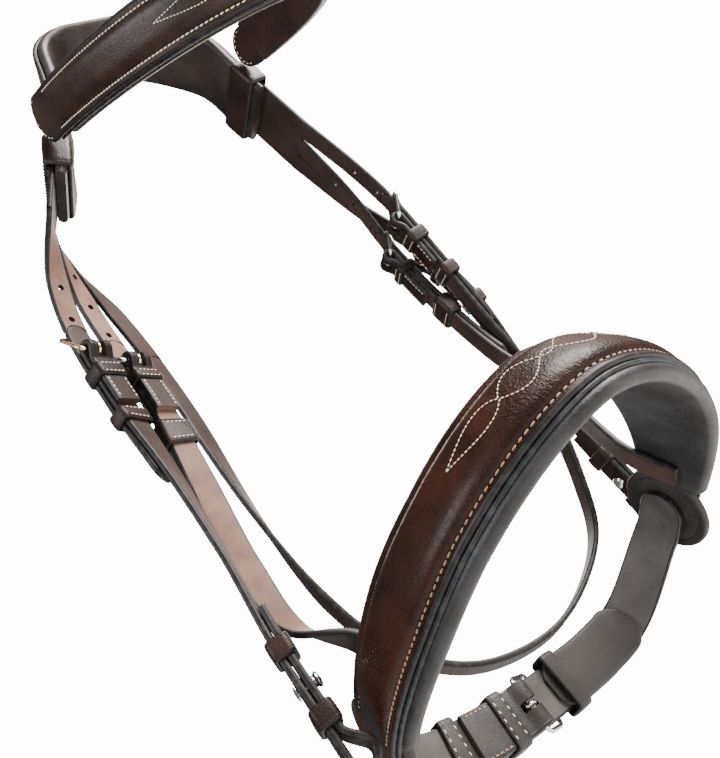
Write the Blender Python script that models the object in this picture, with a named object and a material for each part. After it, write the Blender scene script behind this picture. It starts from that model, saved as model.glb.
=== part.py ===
# Hunter bridle: crown with three tails a side, browband, cheekpieces, noseband on its hangers,
# chin strap and throatlatch. Metres, +Z up towards the poll, -Y is the front of the face,
# +X is the right side as seen from the front. The origin is the middle of the crown's underside.
import math

import bmesh
import bpy
from mathutils import Vector

# Leather stock
strap_width = 0.013
leather = 0.003
layer_gap = 0.0003
edge_bevel = 0.0006
tail_slot = 0.0008
fit_gap = 0.0005

# How the bridle hangs
side_reach = 0.100
fore_aft = 0.100
nose_drop = 0.415

# Crown
crown_width = 0.038
crown_half_span = 0.063
crown_rise = 0.072
crown_lean = 0.013
lining_thickness = 0.006
lining_margin = 0.002
seat_length = 0.030
lining_below_loop = 0.014
soft_gap = 0.0006

# Browband
brow_width = 0.024
brow_half_span = 0.067
brow_depth = 0.144
brow_bulge = 0.0
brow_droop = math.radians(50)
brow_hinge_drop = 0.004
brow_arch_power = 1.95
brow_raise_width = 0.015
brow_raise_height = 0.0028
brow_lining_height = 0.004
brow_lining_margin = 0.0012
brow_loop_length = 0.020
brow_loop_wall = 0.0022
brow_end_gaps = {"left": 0.0040, "right": 0.0026}
brow_loop_heights = {"left": -0.089, "right": -0.067}
brow_inner_inset = 0.030

# Noseband
nose_width = 0.035
nose_half_span = 0.090
nose_depth = 0.123
nose_arch_power = 1.72
nose_tilt = math.radians(-15.6)
nose_back = 0.063
nose_aside = -0.003
nose_yaw = math.radians(-3.2)
nose_flare = -0.31
nose_flare_run = 0.090
nose_leather = 0.0028
nose_row_inset = 0.0035
nose_raise_height = 0.0042
nose_lining_height = 0.0065
nose_lining_margin = 0.0035
nose_end_reach = 0.014
nose_end_width = 0.023
nose_full_share = 0.45
nose_raise_run = 0.030
nose_raise_inset = 0.020
hanger_place = 0.036
hanger_entry_share = 1.7
hanger_end_share = 0.4

# Round pads at the noseband's ends
disc_radius = 0.0215
disc_thickness = 0.004
disc_place = 0.003
disc_sides = 28

# Chin strap
chin_strap_width = 0.022
chin_pad_margin = 0.0015
chin_pad_height = 0.004
chin_pad_start = 0.060
chin_pad_to_buckle = 0.0175
chin_buckle_back = 0.090
chin_tip_reach = 0.048
chin_tab_run = 0.012
chin_tab_reach = 0.022
chin_tab_dip = 0.003
chin_loop_inset = 0.008
chin_runner_below = 0.0430
chin_reach = 0.052
chin_drop = 0.022

# Buckles
wire = 0.0022
frame_length = 0.0150
frame_corner = 0.0030
frame_side_gap = 0.0010
tongue_wire = 0.0020
bar_gap = 0.0008
slot_width = 0.0042
hole_diameter = 0.0038
hole_length = 0.0068
hole_pitch = 0.0190
hole_place_share = 0.37
tongue_rise_shares = ((0.28, -0.26), (0.37, 0.50), (0.48, 1.45), (0.70, 2.10))
tongue_hook_start = -160
tongue_hook_step = 40
tongue_hook_turns = 6

# Keepers
keeper_wall = 0.0014
keeper_corner = 0.0004
keeper_length = 0.0085
wide_keeper_length = 0.0150
runner_gap = 0.0008
keeper_gap = 0.0003

# Folded ends
turn_back = 0.036
fold_run_share = 2.2
bit_eye = 0.0034
bit_eye_turns = 5
bit_throat_share = 2.2
bit_keeper_shares = (("upper", 0.72), ("lower", 0.27))
stud_place_share = 0.47
bit_turn_up = 0.062
stud_radius = 0.0032
stud_neck = 0.0016
stud_head_height = 0.0014
stud_waist_share = 0.75
cut_overrun = 0.0010

# Places along a strap, measured from the end of the crown's tail
flex_gap = 0.0005
buckle_below_tail = 0.0210
fixed_keeper_below = 0.0150
runner_below = 0.0440
small_keeper_below = 0.0125
small_keeper_length = 0.0060
wide_runner_below = 0.0500
cheek_billet_length = 0.105
hanger_billet_length = 0.120
throat_billet_length = 0.110
throat_rejoin = 0.060

# The rounded section of the raised centres, as shares of their half width and height
shoulder_width_share = 0.86
shoulder_height_share = 0.60
crest_width_share = 0.50

# How finely the long forms are cut
span_steps = 4
span_pitch = 0.012
chin_pitch = 0.006
crown_pitch = 0.0095
arch_pitch = 0.011
ring_sides = 8
wire_sides = 6
hole_sides = 10
corner_turns = 2
fold_turns = 6
arch_steps = 2
brow_arch_turns = 14
nose_arch_turns = 18
tip_shares = (0.04, 0.16, 0.38, 0.68, 1.0)

# Places of the straps as shares of side reach, fore and aft, and the noseband's drop.
# The first point of each is worked out from the crown's split.
crown_shares = ((-1.36, 2.10, -1.75), (-1.17, 1.62, -1.46), (-0.99, 1.10, -1.14), (-0.77, 0.62, -0.70),
                (-0.63, 0.25, -0.22), (-0.40, 0.04, -0.035), (-0.12, 0.0, 0.0), (0.12, 0.0, 0.0),
                (0.40, 0.04, -0.035), (0.70, 0.25, -0.22), (0.99, 0.62, -0.50), (1.07, 1.10, -0.92),
                (1.14, 1.60, -1.30), (1.22, 2.15, -1.70))
crown_width_shares = ((-0.25, 0.97, 0), (-0.20, 0.98, 0), (-0.10, 0.99, 0)) + ((0, 1, 0),) * 11
side_routes = {
    ("cheek", "left"): (
        ((-0.98, 0.34, -0.372), (-1.03, 0.45, -0.450), (-1.04, 0.51, -0.560), (-1.05, 0.49, -0.680),
         (-1.08, 0.47, -0.800), (-1.12, 0.46, -0.900), (-1.13, 0.46, -1.010)),
        ((0.78, 0.62, 0), (0.80, 0.60, 0), (0.78, 0.62, 0), (0.50, 0.87, 0),
         (0.25, 0.97, 0), (0.20, 0.98, 0), (0.10, 1.0, 0))),
    ("hanger", "left"): (
        ((-0.88, 0.485, -0.378), (-0.87, 0.60, -0.468), (-0.88, 0.62, -0.580), (-0.92, 0.64, -0.680),
         (-0.97, 0.66, -0.790), (-0.985, 0.60, -0.880)),
        ((0.77, 0.64, 0), (0.80, 0.60, 0), (0.84, 0.54, 0), (0.97, 0.24, 0), (0.99, -0.05, 0),
         (0.80, 0.60, 0))),
    ("cheek", "right"): (
        ((0.89, 0.27, -0.372), (0.97, 0.385, -0.450), (1.01, 0.54, -0.560), (1.03, 0.69, -0.680),
         (1.04, 0.81, -0.800), (1.04, 0.89, -0.900), (1.04, 0.96, -1.010)),
        ((0.15, 0.99, 0), (0.15, 0.99, 0), (0.15, 0.99, 0), (0.15, 0.99, 0),
         (0.10, 0.99, 0), (0.05, 1.0, 0), (0.0, 1.0, 0))),
    ("hanger", "right"): (
        ((0.87, 0.465, -0.378), (0.91, 0.625, -0.468), (0.925, 0.715, -0.580), (0.94, 0.74, -0.700),
         (0.94, 0.67, -0.810)),
        ((0.15, 0.99, 0), (0.15, 0.99, 0), (0.15, 0.99, 0), (0.10, 0.99, 0), (0.05, 1.0, 0))),
}
# The throatlatch runs from the right side's tail, under the jaw, to the left side's tail.
throat_shares = ((0.92, 0.55, -0.390), (1.10, 0.665, -0.476), (1.16, 0.74, -0.590), (1.14, 0.88, -0.700),
                 (1.10, 1.03, -0.810), (0.99, 1.15, -0.895), (0.80, 1.21, -0.965), (0.45, 1.23, -1.008),
                 (0.10, 1.21, -1.018), (-0.28, 1.16, -0.993), (-0.56, 1.08, -0.930), (-0.70, 1.00, -0.840),
                 (-0.745, 0.91, -0.725), (-0.735, 0.83, -0.605), (-0.700, 0.77, -0.490),
                 (-0.76, 0.59, -0.390))
throat_width_shares = ((0.12, 0.99, 0),) * 4 + ((0.0, 1.0, 0),) * 8 + (
    (0.35, 0.94, 0), (0.70, 0.71, 0), (0.75, 0.66, 0), (0.75, 0.66, 0))
# The chin strap from the right pad round the back to the left pad, as shares of the noseband's
# half span, its reach behind the pads, and its drop below them.
chin_shares = ((0.67, 0.83, -0.91), (0.38, 0.96, -1.05), (0.0, 0.83, -1.0), (-0.39, 0.68, -0.88),
               (-0.74, 0.50, -0.62))
# The heights at which the crown's tails end, as shares of the noseband's drop.
tail_end_shares = {"cheek": 0.428, "hanger": 0.440, "throat": 0.458}


def clear_scene():
    for item in list(bpy.data.objects):
        bpy.data.objects.remove(item, do_unlink=True)


def material(name, colour, roughness, metallic=0.0):
    found = bpy.data.materials.get(name)
    if found:
        return found
    made = bpy.data.materials.new(name)
    made.use_nodes = True
    shader = made.node_tree.nodes["Principled BSDF"]
    shader.inputs["Base Color"].default_value = (*colour, 1.0)
    shader.inputs["Roughness"].default_value = roughness
    shader.inputs["Metallic"].default_value = metallic
    return made


def dark_leather():
    return material("dark_brown_leather", (0.045, 0.016, 0.010), 0.42)


def flesh_leather():
    return material("strap_leather", (0.085, 0.042, 0.030), 0.60)


def lining_leather():
    return material("lining_leather", (0.060, 0.034, 0.028), 0.55)


def steel():
    return material("polished_steel", (0.62, 0.60, 0.55), 0.22, 1.0)


def finish(mesh_data, name, finish_material, smooth_angle=math.radians(35)):
    """Turns a bmesh into a named object with outward faces."""
    bmesh.ops.recalc_face_normals(mesh_data, faces=mesh_data.faces[:])
    mesh = bpy.data.meshes.new(name)
    mesh_data.to_mesh(mesh)
    mesh_data.free()
    mesh.shade_smooth()
    mesh.set_sharp_from_angle(angle=smooth_angle)
    mesh.materials.append(finish_material)
    made = bpy.data.objects.new(name, mesh)
    bpy.context.scene.collection.objects.link(made)
    return made


def cut(target, cutters):
    """Takes the cutters out of the target with Boolean modifiers."""
    for cutter in cutters:
        cutter.hide_render = True
        cutter.display_type = "WIRE"
        modifier = target.modifiers.new("cut_" + cutter.name, "BOOLEAN")
        modifier.operation = "DIFFERENCE"
        modifier.object = cutter
        modifier.solver = "EXACT"


def rings_to_object(rings, name, finish_material, closed=False):
    """Skins a row of equal rings of points, with flat ends unless the row closes on itself."""
    data = bmesh.new()
    made = [[data.verts.new(point) for point in ring] for ring in rings]
    count = len(made)
    last = count if closed else count - 1
    for i in range(last):
        here, there = made[i], made[(i + 1) % count]
        for k in range(len(here)):
            n = (k + 1) % len(here)
            data.faces.new((here[k], here[n], there[n], there[k]))
    if not closed:
        data.faces.new(made[0])
        data.faces.new(list(reversed(made[-1])))
    return finish(data, name, finish_material)


class Route:
    """A smooth line through points, with the strap's width direction at each place.

    along(s) gives the place, the run, the width direction and the outward normal.
    """

    def __init__(self, points, widths, outward, steps=span_steps):
        self.outward = outward
        points = [Vector(p) for p in points]
        widths = [Vector(w) for w in widths]
        first = points[0] * 2 - points[1]
        last = points[-1] * 2 - points[-2]
        padded = [first] + points + [last]
        turned = [widths[0]] + widths + [widths[-1]]
        self.places, self.across = [], []
        for i in range(1, len(padded) - 2):
            stops = steps + 1 if i == len(padded) - 3 else steps
            for k in range(stops):
                t = k / steps
                self.places.append(through(padded[i - 1:i + 3], t))
                self.across.append(turned[i].lerp(turned[i + 1], t).normalized())
        self.lengths = [0.0]
        for a, b in zip(self.places, self.places[1:]):
            self.lengths.append(self.lengths[-1] + (b - a).length)
        self.total = self.lengths[-1]

    def place(self, s):
        if s <= 0:
            run = (self.places[1] - self.places[0]).normalized()
            return self.places[0] + run * s, self.across[0]
        if s >= self.total:
            run = (self.places[-1] - self.places[-2]).normalized()
            return self.places[-1] + run * (s - self.total), self.across[-1]
        i = next(k for k in range(1, len(self.lengths)) if self.lengths[k] >= s)
        before, after = self.lengths[i - 1], self.lengths[i]
        t = (s - before) / (after - before)
        return self.places[i - 1].lerp(self.places[i], t), self.across[i - 1].lerp(self.across[i], t)

    def along(self, s):
        look = leather
        here, across = self.place(s)
        run = (self.place(s + look)[0] - self.place(s - look)[0]).normalized()
        width = (across - run * across.dot(run)).normalized()
        normal = run.cross(width) * self.outward
        return here, run, width, normal

    def nearest(self, height):
        """The length along the route at which it first passes this height."""
        for i in range(1, len(self.places)):
            a, b = self.places[i - 1].z, self.places[i].z
            if (a - height) * (b - height) <= 0 and a != b:
                t = (a - height) / (a - b)
                return self.lengths[i - 1] + t * (self.lengths[i] - self.lengths[i - 1])
        return self.total

    def last_at(self, height):
        """The length along the route at which it last passes this height."""
        for i in range(len(self.places) - 1, 0, -1):
            a, b = self.places[i - 1].z, self.places[i].z
            if (a - height) * (b - height) <= 0 and a != b:
                t = (a - height) / (a - b)
                return self.lengths[i - 1] + t * (self.lengths[i] - self.lengths[i - 1])
        return 0.0


def through(four, t):
    """Catmull-Rom between the middle two of four points."""
    a, b, c, d = four
    return 0.5 * ((2 * b) + (c - a) * t + (2 * a - 5 * b + 4 * c - d) * t * t
                  + (3 * b - a - 3 * c + d) * t * t * t)


def stops(start, end, pitch):
    count = max(1, math.ceil((end - start) / pitch))
    return [start + (end - start) * k / count for k in range(count + 1)]


def blend_points(shares, sizes):
    """Points from shares of three sizes: to the side, fore and aft, and down from the poll."""
    return [Vector((a * b for a, b in zip(row, sizes))) for row in shares]


def flat_profile(width, low, high, bevel=edge_bevel):
    """A strap's cross-section with its edges rubbed off, as (across, outward) points."""
    half = width / 2
    b = min(bevel, half / 2, (high - low) / 3)
    return [(-half, low + b), (-half + b, low), (half - b, low), (half, low + b),
            (half, high - b), (half - b, high), (-half + b, high), (-half, high - b)]


def ribbon(route, places, profile_at, name, finish_material):
    """Sweeps a cross-section along the route. profile_at(s) gives (across, outward) points."""
    rings = []
    for s in places:
        here, run, width, normal = route.along(s)
        rings.append([here + width * u + normal * v for u, v in profile_at(s)])
    return rings_to_object(rings, name, finish_material)


def round_tip(width, reach, at, away):
    """The width of a strap whose end is a half circle, at a distance from that end."""
    distance = abs(away - at)
    if distance >= reach:
        return width
    share = 1 - distance / reach
    return width * math.sqrt(max(0.0, 1 - share * share))


def folded(route, path, width, thickness, name, finish_material):
    """A flat strap that follows (along, outward) points of a path that may turn back on itself.

    Each point is the middle of the leather. The width may be one size or one for each point.
    """
    sizes = width if isinstance(width, list) else [width] * len(path)
    middles, widths = [], []
    for s, v in path:
        here, run, across, normal = route.along(s)
        middles.append(here + normal * v)
        widths.append(across)
    rings = []
    half = thickness / 2
    for i, here in enumerate(middles):
        before = middles[max(0, i - 1)]
        after = middles[min(len(middles) - 1, i + 1)]
        first = (here - before).normalized() if i else (after - here).normalized()
        second = (after - here).normalized() if i < len(middles) - 1 else first
        run = (first + second).normalized()
        width_way = (widths[i] - run * widths[i].dot(run)).normalized()
        normal = run.cross(width_way)
        spread = 1 / max(0.5, math.sqrt((1 + first.dot(second)) / 2))
        rings.append([here + width_way * u + normal * v * spread
                      for u, v in flat_profile(sizes[i], -half, half)])
    return rings_to_object(rings, name, finish_material)


def half_turn(centre_s, centre_v, radius, first_angle, last_angle, count=fold_turns):
    """Points of an arc in the (along, outward) plane, ends left out."""
    made = []
    for k in range(1, count):
        angle = first_angle + (last_angle - first_angle) * k / count
        made.append((centre_s + radius * math.cos(angle), centre_v + radius * math.sin(angle)))
    return made


def ring_keeper(route, s, length, inner_width, low, high, wall, name, finish_material, pieces=1):
    """A loop of leather round a strap: a band of one wall with rounded corners."""

    def outline(grow):
        half, bottom, top = inner_width / 2 + grow, low - grow, high + grow
        corner = keeper_corner + grow
        return [(-half, bottom + corner), (-half + corner, bottom), (half - corner, bottom),
                (half, bottom + corner), (half, top - corner), (half - corner, top),
                (-half + corner, top), (-half, top - corner)]

    out_places = [s + length * (k / pieces - 0.5) for k in range(pieces + 1)]
    rings = []
    for grow, places in ((wall, out_places), (0.0, list(reversed(out_places)))):
        for place in places:
            here, run, width, normal = route.along(place if pieces > 1 else s)
            shift = run * (place - s) if pieces == 1 else run * 0
            rings.append([here + shift + width * u + normal * v for u, v in outline(grow)])
    return rings_to_object(rings, name, finish_material, closed=True)


def tube(points, radii, sides, name, finish_material, closed=False):
    """A round rod through points, each with its own radius."""
    points = [Vector(p) for p in points]
    count = len(points)
    rings = []
    guide = None
    for i, here in enumerate(points):
        before = points[(i - 1) % count] if closed or i else here
        after = points[(i + 1) % count] if closed or i < count - 1 else here
        run = (after - before).normalized()
        if guide is None:
            guide = run.orthogonal().normalized()
        side = (guide - run * guide.dot(run)).normalized()
        guide = side
        other = run.cross(side)
        radius = radii[i] if isinstance(radii, (list, tuple)) else radii
        rings.append([here + side * radius * math.cos(2 * math.pi * k / sides)
                      + other * radius * math.sin(2 * math.pi * k / sides) for k in range(sides)])
    return rings_to_object(rings, name, finish_material, closed=closed)


def buckle_frame(route, bar_s, bar_v, far_v, inner_width, name):
    """Bent wire round a rectangle with round corners, its far bar standing over the billet."""
    here, run, width, normal = route.along(bar_s)
    half = inner_width / 2 + frame_side_gap + wire / 2
    inset = frame_corner
    points = []
    corners = ((half - inset, -inset, 0.0), (half - inset, -frame_length + inset, -0.5),
               (-half + inset, -frame_length + inset, -1.0), (-half + inset, -inset, -1.5))
    for centre_u, centre_s, start in corners:
        for k in range(corner_turns + 1):
            angle = math.pi * (start + 0.5 - 0.5 * k / corner_turns)
            u = centre_u + inset * math.cos(angle)
            s = centre_s + inset * math.sin(angle)
            v = bar_v + (far_v - bar_v) * (-s / frame_length)
            points.append(here + width * u + run * s + normal * v)
    return tube(points, wire / 2, ring_sides, name, steel(), closed=True)


def tongue(route, bar_s, bar_v, far_v, name):
    """A wire that hooks round the bar, comes up through the billet's hole and rests on the far bar."""
    here, run, width, normal = route.along(bar_s)
    radius = wire / 2 + bar_gap + tongue_wire / 2
    rest_v = far_v + wire / 2 + bar_gap + tongue_wire / 2
    path = [(radius * math.cos(a), bar_v + radius * math.sin(a))
            for a in (math.radians(tongue_hook_start + tongue_hook_step * k)
                       for k in range(tongue_hook_turns + 1))]
    path += [(-frame_length * a, leather * b) for a, b in tongue_rise_shares]
    path += [(-frame_length, rest_v), (-frame_length - wire, rest_v)]
    points = [here + run * s + normal * v for s, v in path]
    radii = [tongue_wire / 2] * (len(points) - 1) + [tongue_wire / 3]
    return tube(points, radii, wire_sides, name, steel())


def punch(route, s, length, diameter, low, high, name):
    """A cutter for an oval hole through the leather."""
    here, run, width, normal = route.along(s)
    data = bmesh.new()
    rings = []
    for v in (low, high):
        ring = []
        for k in range(hole_sides):
            angle = 2 * math.pi * k / hole_sides
            away = (length - diameter) / 2 * (1 if math.cos(angle) > 0 else -1)
            ring.append(here + run * (away + diameter / 2 * math.cos(angle))
                        + width * (diameter / 2 * math.sin(angle)) + normal * v)
        rings.append([data.verts.new(p) for p in ring])
    for k in range(hole_sides):
        n = (k + 1) % hole_sides
        data.faces.new((rings[0][k], rings[0][n], rings[1][n], rings[1][k]))
    data.faces.new(rings[0])
    data.faces.new(list(reversed(rings[1])))
    return finish(data, name, steel())


def slot_cutter(route, bar_s, bar_v, name):
    """A cutter for the slot that lets the tongue round the bar."""
    here, run, width, normal = route.along(bar_s)
    reach = wire / 2 + bar_gap + leather + cut_overrun
    rings = []
    for s in (-reach, reach):
        rings.append([here + run * s + width * u * slot_width / 2 + normal * (bar_v + v * reach)
                      for u, v in ((-1, -1), (1, -1), (1, 1), (-1, 1))])
    return rings_to_object(rings, name, steel())


def strap_layers():
    """Where the layers lie at a buckle: the middle of the strap, of its turned-back end, the bar."""
    main_v = -layer_gap - leather / 2
    back_v = main_v - leather - layer_gap
    fold = wire / 2 + bar_gap + leather / 2
    return main_v, back_v, fold, main_v - fold


def buckled_path(bar_s, end_s, pitch=span_pitch):
    """The folded strap: its turned-back end, round the buckle's bar, then down the route."""
    main_v, back_v, fold, bar_v = strap_layers()
    path = [(s, back_v) for s in stops(bar_s + turn_back, bar_s + fold * fold_run_share, -pitch)]
    path.append((bar_s, bar_v - fold))
    path += half_turn(bar_s, bar_v, fold, 1.5 * math.pi, 0.5 * math.pi)
    path += [(s, main_v) for s in stops(bar_s, end_s, pitch)]
    return path


def label(part, word, side):
    return "_".join(w for w in (part, word, side) if w)


def buckled_end(route, part, side, bar_s, start, end, keepers, holes=2, size=strap_width, pitch=span_pitch):
    """Buckle, tongue, billet and keepers where a billet is buckled to a strap."""
    main_v, back_v, fold, bar_v = strap_layers()
    far_v = leather + layer_gap + wire / 2
    buckle_frame(route, bar_s, bar_v, far_v, size, label(part, "buckle", side))
    tongue(route, bar_s, bar_v, far_v, label(part, "tongue", side))
    reach = size / 2
    places = [start + reach * q for q in tip_shares] + stops(start + reach, end - reach, pitch)[1:]
    places += [end - reach * q for q in reversed(tip_shares[:-1])]

    def billet_profile(s):
        width = min(round_tip(size, reach, start, s), round_tip(size, reach, end, s))
        return flat_profile(max(width, edge_bevel * 2), 0, leather)

    billet = ribbon(route, places, billet_profile, label(part, "billet", side), dark_leather())
    first = bar_s - frame_length * hole_place_share
    cutters = [punch(route, first, hole_length, hole_diameter, -leather, leather * 2,
                     label(part, "hole_0", side))]
    for k in range(1, holes + 1):
        if first + hole_pitch * k < end - reach:
            cutters.append(punch(route, first + hole_pitch * k, hole_diameter, hole_diameter,
                                 -leather, leather * 2, label(part, f"hole_{k}", side)))
    cut(billet, cutters)
    high = leather + keeper_gap
    for word, away, length, loose in keepers:
        spare = runner_gap - keeper_gap if loose else 0
        inner = back_v if away < turn_back else main_v
        ring_keeper(route, bar_s + away, length, size + 2 * (keeper_gap + spare),
                    inner - leather / 2 - keeper_gap - spare, high + spare, keeper_wall,
                    label(part, word, side), dark_leather())
    return places


def crown_route():
    """The crown's leather from the left split over the poll to the right split, inner face."""
    points = blend_points(crown_shares, (crown_half_span, crown_lean, crown_rise))
    widths = [Vector(w) for w in crown_width_shares]
    flat = Route(points, widths, 1)
    here, run, width, normal = flat.along(crown_middle(flat) - seat_length / 2)
    seat = (here - normal * (lining_thickness + soft_gap)).z
    return Route([p - Vector((0, 0, seat)) for p in points], widths, 1)


def crown_middle(crown):
    """How far along the crown its highest place is."""
    for i in range(1, len(crown.places)):
        a, b = crown.places[i - 1].x, crown.places[i].x
        if a <= 0 < b:
            return crown.lengths[i - 1] + a / (a - b) * (crown.lengths[i] - crown.lengths[i - 1])
    return crown.total / 2


def loop_places(crown):
    """How far along the crown the browband's left and right loops sit."""
    return {"left": crown.nearest(brow_loop_heights["left"]),
            "right": crown.last_at(brow_loop_heights["right"])}


def lining_ends(crown):
    loops = loop_places(crown)
    return loops["left"] - lining_below_loop, loops["right"] + lining_below_loop


def crown_places(crown):
    """The places of the crown's cross-sections: none over the seat, which stays flat."""
    middle = crown_middle(crown)
    low, high = lining_ends(crown)
    places = stops(0, low, crown_pitch)[:-1] + stops(low, middle - seat_length / 2, crown_pitch)
    places += stops(middle + seat_length / 2, high, crown_pitch)[:-1]
    return places + stops(high, crown.total, crown_pitch)


def tail_start(crown, side, index):
    """The middle of a tail where the crown is split. The cheek tail is the front one."""
    here, run, width, normal = crown.along(0 if side == "left" else crown.total)
    return here + width * (index - 1) * (crown_width + tail_slot) / 3, width


def cheek_route(crown, side):
    start, width = tail_start(crown, side, 0)
    shares, turns = side_routes[("cheek", side)]
    points = [start] + blend_points(shares, (side_reach, fore_aft, nose_drop))
    return Route(points, [width] + [Vector(t) for t in turns], -1 if side == "left" else 1)


def hanger_route(crown, nose, side):
    """From the crown's split to the inside of the noseband."""
    start, width = tail_start(crown, side, 1)
    shares, turns = side_routes[("hanger", side)]
    here, run, up, normal = nose.along(hanger_place if side == "left" else nose.total - hanger_place)
    inside = here - normal * (soft_gap + nose_lining_height + soft_gap - layer_gap)
    way = -run if side == "left" else run
    half = nose_width_at(nose, hanger_place) / 2
    points = [start] + blend_points(shares, (side_reach, fore_aft, nose_drop))
    points += [inside + up * half * hanger_entry_share, inside - up * half * hanger_end_share]
    widths = [width] + [Vector(t) for t in turns] + [way, way]
    return Route(points, widths, -1 if side == "left" else 1)


def throat_route(crown):
    start, width = tail_start(crown, "right", 2)
    end, other = tail_start(crown, "left", 2)
    points = [start] + blend_points(throat_shares, (side_reach, fore_aft, nose_drop)) + [end]
    return Route(points, [width] + [Vector(t) for t in throat_width_shares] + [other], 1)


def tail_end(route, part, side):
    height = -nose_drop * tail_end_shares[part]
    if part == "throat" and side == "left":
        return route.last_at(height)
    return route.nearest(height)


def crown_piece(crown, routes):
    """One piece of leather: a wide middle whose ends are slit into three tails each."""
    finger = (crown_width - 2 * tail_slot) / 3
    edges = []
    for k in range(3):
        low = -crown_width / 2 + k * (finger + tail_slot)
        edges += [low, low + finger]
    data = bmesh.new()
    grid = []
    for s in crown_places(crown):
        here, run, width, normal = crown.along(s)
        grid.append([[data.verts.new(here + width * u + normal * v) for u in edges]
                     for v in (0, leather)])
    for (low_a, high_a), (low_b, high_b) in zip(grid, grid[1:]):
        for k in range(5):
            data.faces.new((high_a[k], high_a[k + 1], high_b[k + 1], high_b[k]))
            data.faces.new((low_a[k + 1], low_a[k], low_b[k], low_b[k + 1]))
        data.faces.new((low_a[0], high_a[0], high_b[0], low_b[0]))
        data.faces.new((high_a[5], low_a[5], low_b[5], high_b[5]))
    for side, (low, high) in (("left", grid[0]), ("right", grid[-1])):
        for k in (1, 3):
            data.faces.new((low[k], low[k + 1], high[k + 1], high[k]))
        for index, part in enumerate(("cheek", "hanger", "throat")):
            route = routes[(part, side)]
            backwards = part == "throat" and side == "left"
            end = tail_end(route, part, side)
            length = route.total - end if backwards else end
            ring = [low[2 * index], low[2 * index + 1], high[2 * index + 1], high[2 * index]]
            for away in stops(0, length, span_pitch)[1:]:
                here, run, width, normal = route.along(route.total - away if backwards else away)
                half = (finger + (strap_width - finger) * away / length) / 2
                after = [data.verts.new(here + width * u * half + normal * v)
                         for u, v in ((-1, 0), (1, 0), (1, leather), (-1, leather))]
                for k in range(4):
                    n = (k + 1) % 4
                    data.faces.new((ring[k], ring[n], after[n], after[k]))
                ring = after
            data.faces.new(ring)
    return finish(data, "crown_piece", dark_leather())


def crown_lining(crown):
    """The padded lining under the crown, flat where it sits on the poll."""
    half = crown_width / 2 + lining_margin
    top = -soft_gap
    low = top - lining_thickness
    roll = lining_thickness / 3
    profile = [(-half, low + roll), (-half + roll, low), (half - roll, low), (half, low + roll),
               (half, top - roll / 2), (half - roll, top), (-half + roll, top), (-half, top - roll / 2)]
    first, last = lining_ends(crown)
    places = [s for s in crown_places(crown) if first <= s <= last]
    ribbon(crown, places, lambda s: profile, "crown_lining", lining_leather())


def brow_loops(crown):
    """The loops at the browband's ends, round the crown and its lining."""
    for side, s in loop_places(crown).items():
        ring_keeper(crown, s, brow_loop_length, crown_width + 2 * (lining_margin + fit_gap),
                    -lining_thickness - soft_gap - fit_gap, leather + fit_gap, brow_loop_wall,
                    "browband_loop_" + side, dark_leather(), pieces=4)


def arch_points(half_span, depth, power, bulge, count):
    """A rounded arch from left to right: how far to the side and how far to the front."""
    made = []
    for k in range(count + 1):
        angle = math.pi / 2 * (2 * k / count - 1)
        side, front = math.sin(angle), abs(math.cos(angle))
        x = half_span * math.copysign(abs(side) ** (2 / power), side)
        y = depth * front ** (2 / power)
        made.append((x * (1 + bulge * y / depth), y))
    return made


def brow_hinge(crown):
    """The middle between the browband's round ends, the way across to the right, and forwards."""
    ends = []
    for sign, side in ((-1, "left"), (1, "right")):
        height = brow_loop_heights[side] - brow_hinge_drop
        s = crown.nearest(height) if side == "left" else crown.last_at(height)
        here, run, width, normal = crown.along(s)
        stand_off = lining_margin + fit_gap + brow_loop_wall + brow_end_gaps[side]
        front = here - width * (crown_width / 2 + stand_off)
        ends.append(Vector((sign * brow_half_span, front.y - brow_width / 2, height)))
    across = (ends[1] - ends[0]).normalized()
    forward = Vector((0, -math.cos(brow_droop), -math.sin(brow_droop)))
    forward = (forward - across * forward.dot(across)).normalized()
    return (ends[0] + ends[1]) / 2, across, forward


def brow_route(crown):
    hinge, across, forward = brow_hinge(crown)
    up = forward.cross(across)
    flat = arch_points(brow_half_span, brow_depth, brow_arch_power, brow_bulge, brow_arch_turns)
    points = [hinge + across * x + forward * y for x, y in flat]
    points = [points[0] - forward * brow_width / 2] + points + [points[-1] - forward * brow_width / 2]
    return Route(points, [up] * len(points), 1, steps=arch_steps)


def browband(crown):
    """The browband's strap, its raised centre outside and its padded lining inside."""
    route = brow_route(crown)
    reach = brow_width / 2
    inner = stops(brow_inner_inset, route.total - brow_inner_inset, arch_pitch)
    first = [reach * q for q in tip_shares] + stops(reach, brow_inner_inset, arch_pitch)[1:-1]
    places = first + inner + [route.total - s for s in reversed(first)]

    def strap_profile(s):
        width = min(round_tip(brow_width, reach, 0, s), round_tip(brow_width, reach, route.total, s))
        return flat_profile(max(width, edge_bevel * 2), 0, leather)

    ribbon(route, places, strap_profile, "browband_strap", dark_leather())
    half, low = brow_raise_width / 2, leather + layer_gap
    high = low + brow_raise_height
    shoulder = low + brow_raise_height * shoulder_height_share
    outer_u, inner_u = half * shoulder_width_share, half * crest_width_share
    raised = [(-half, low), (half, low), (outer_u, shoulder), (inner_u, high), (-inner_u, high),
              (-outer_u, shoulder)]
    ribbon(route, inner, lambda s: raised, "browband_raised_centre", dark_leather())
    half, top = brow_width / 2 + brow_lining_margin, -layer_gap
    low, roll = top - brow_lining_height, brow_lining_height / 2
    lining = [(-half, top - roll), (-half + roll, low), (half - roll, low), (half, top - roll),
              (half - roll, top), (-half + roll, top)]
    ribbon(route, inner, lambda s: lining, "browband_lining", lining_leather())


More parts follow.
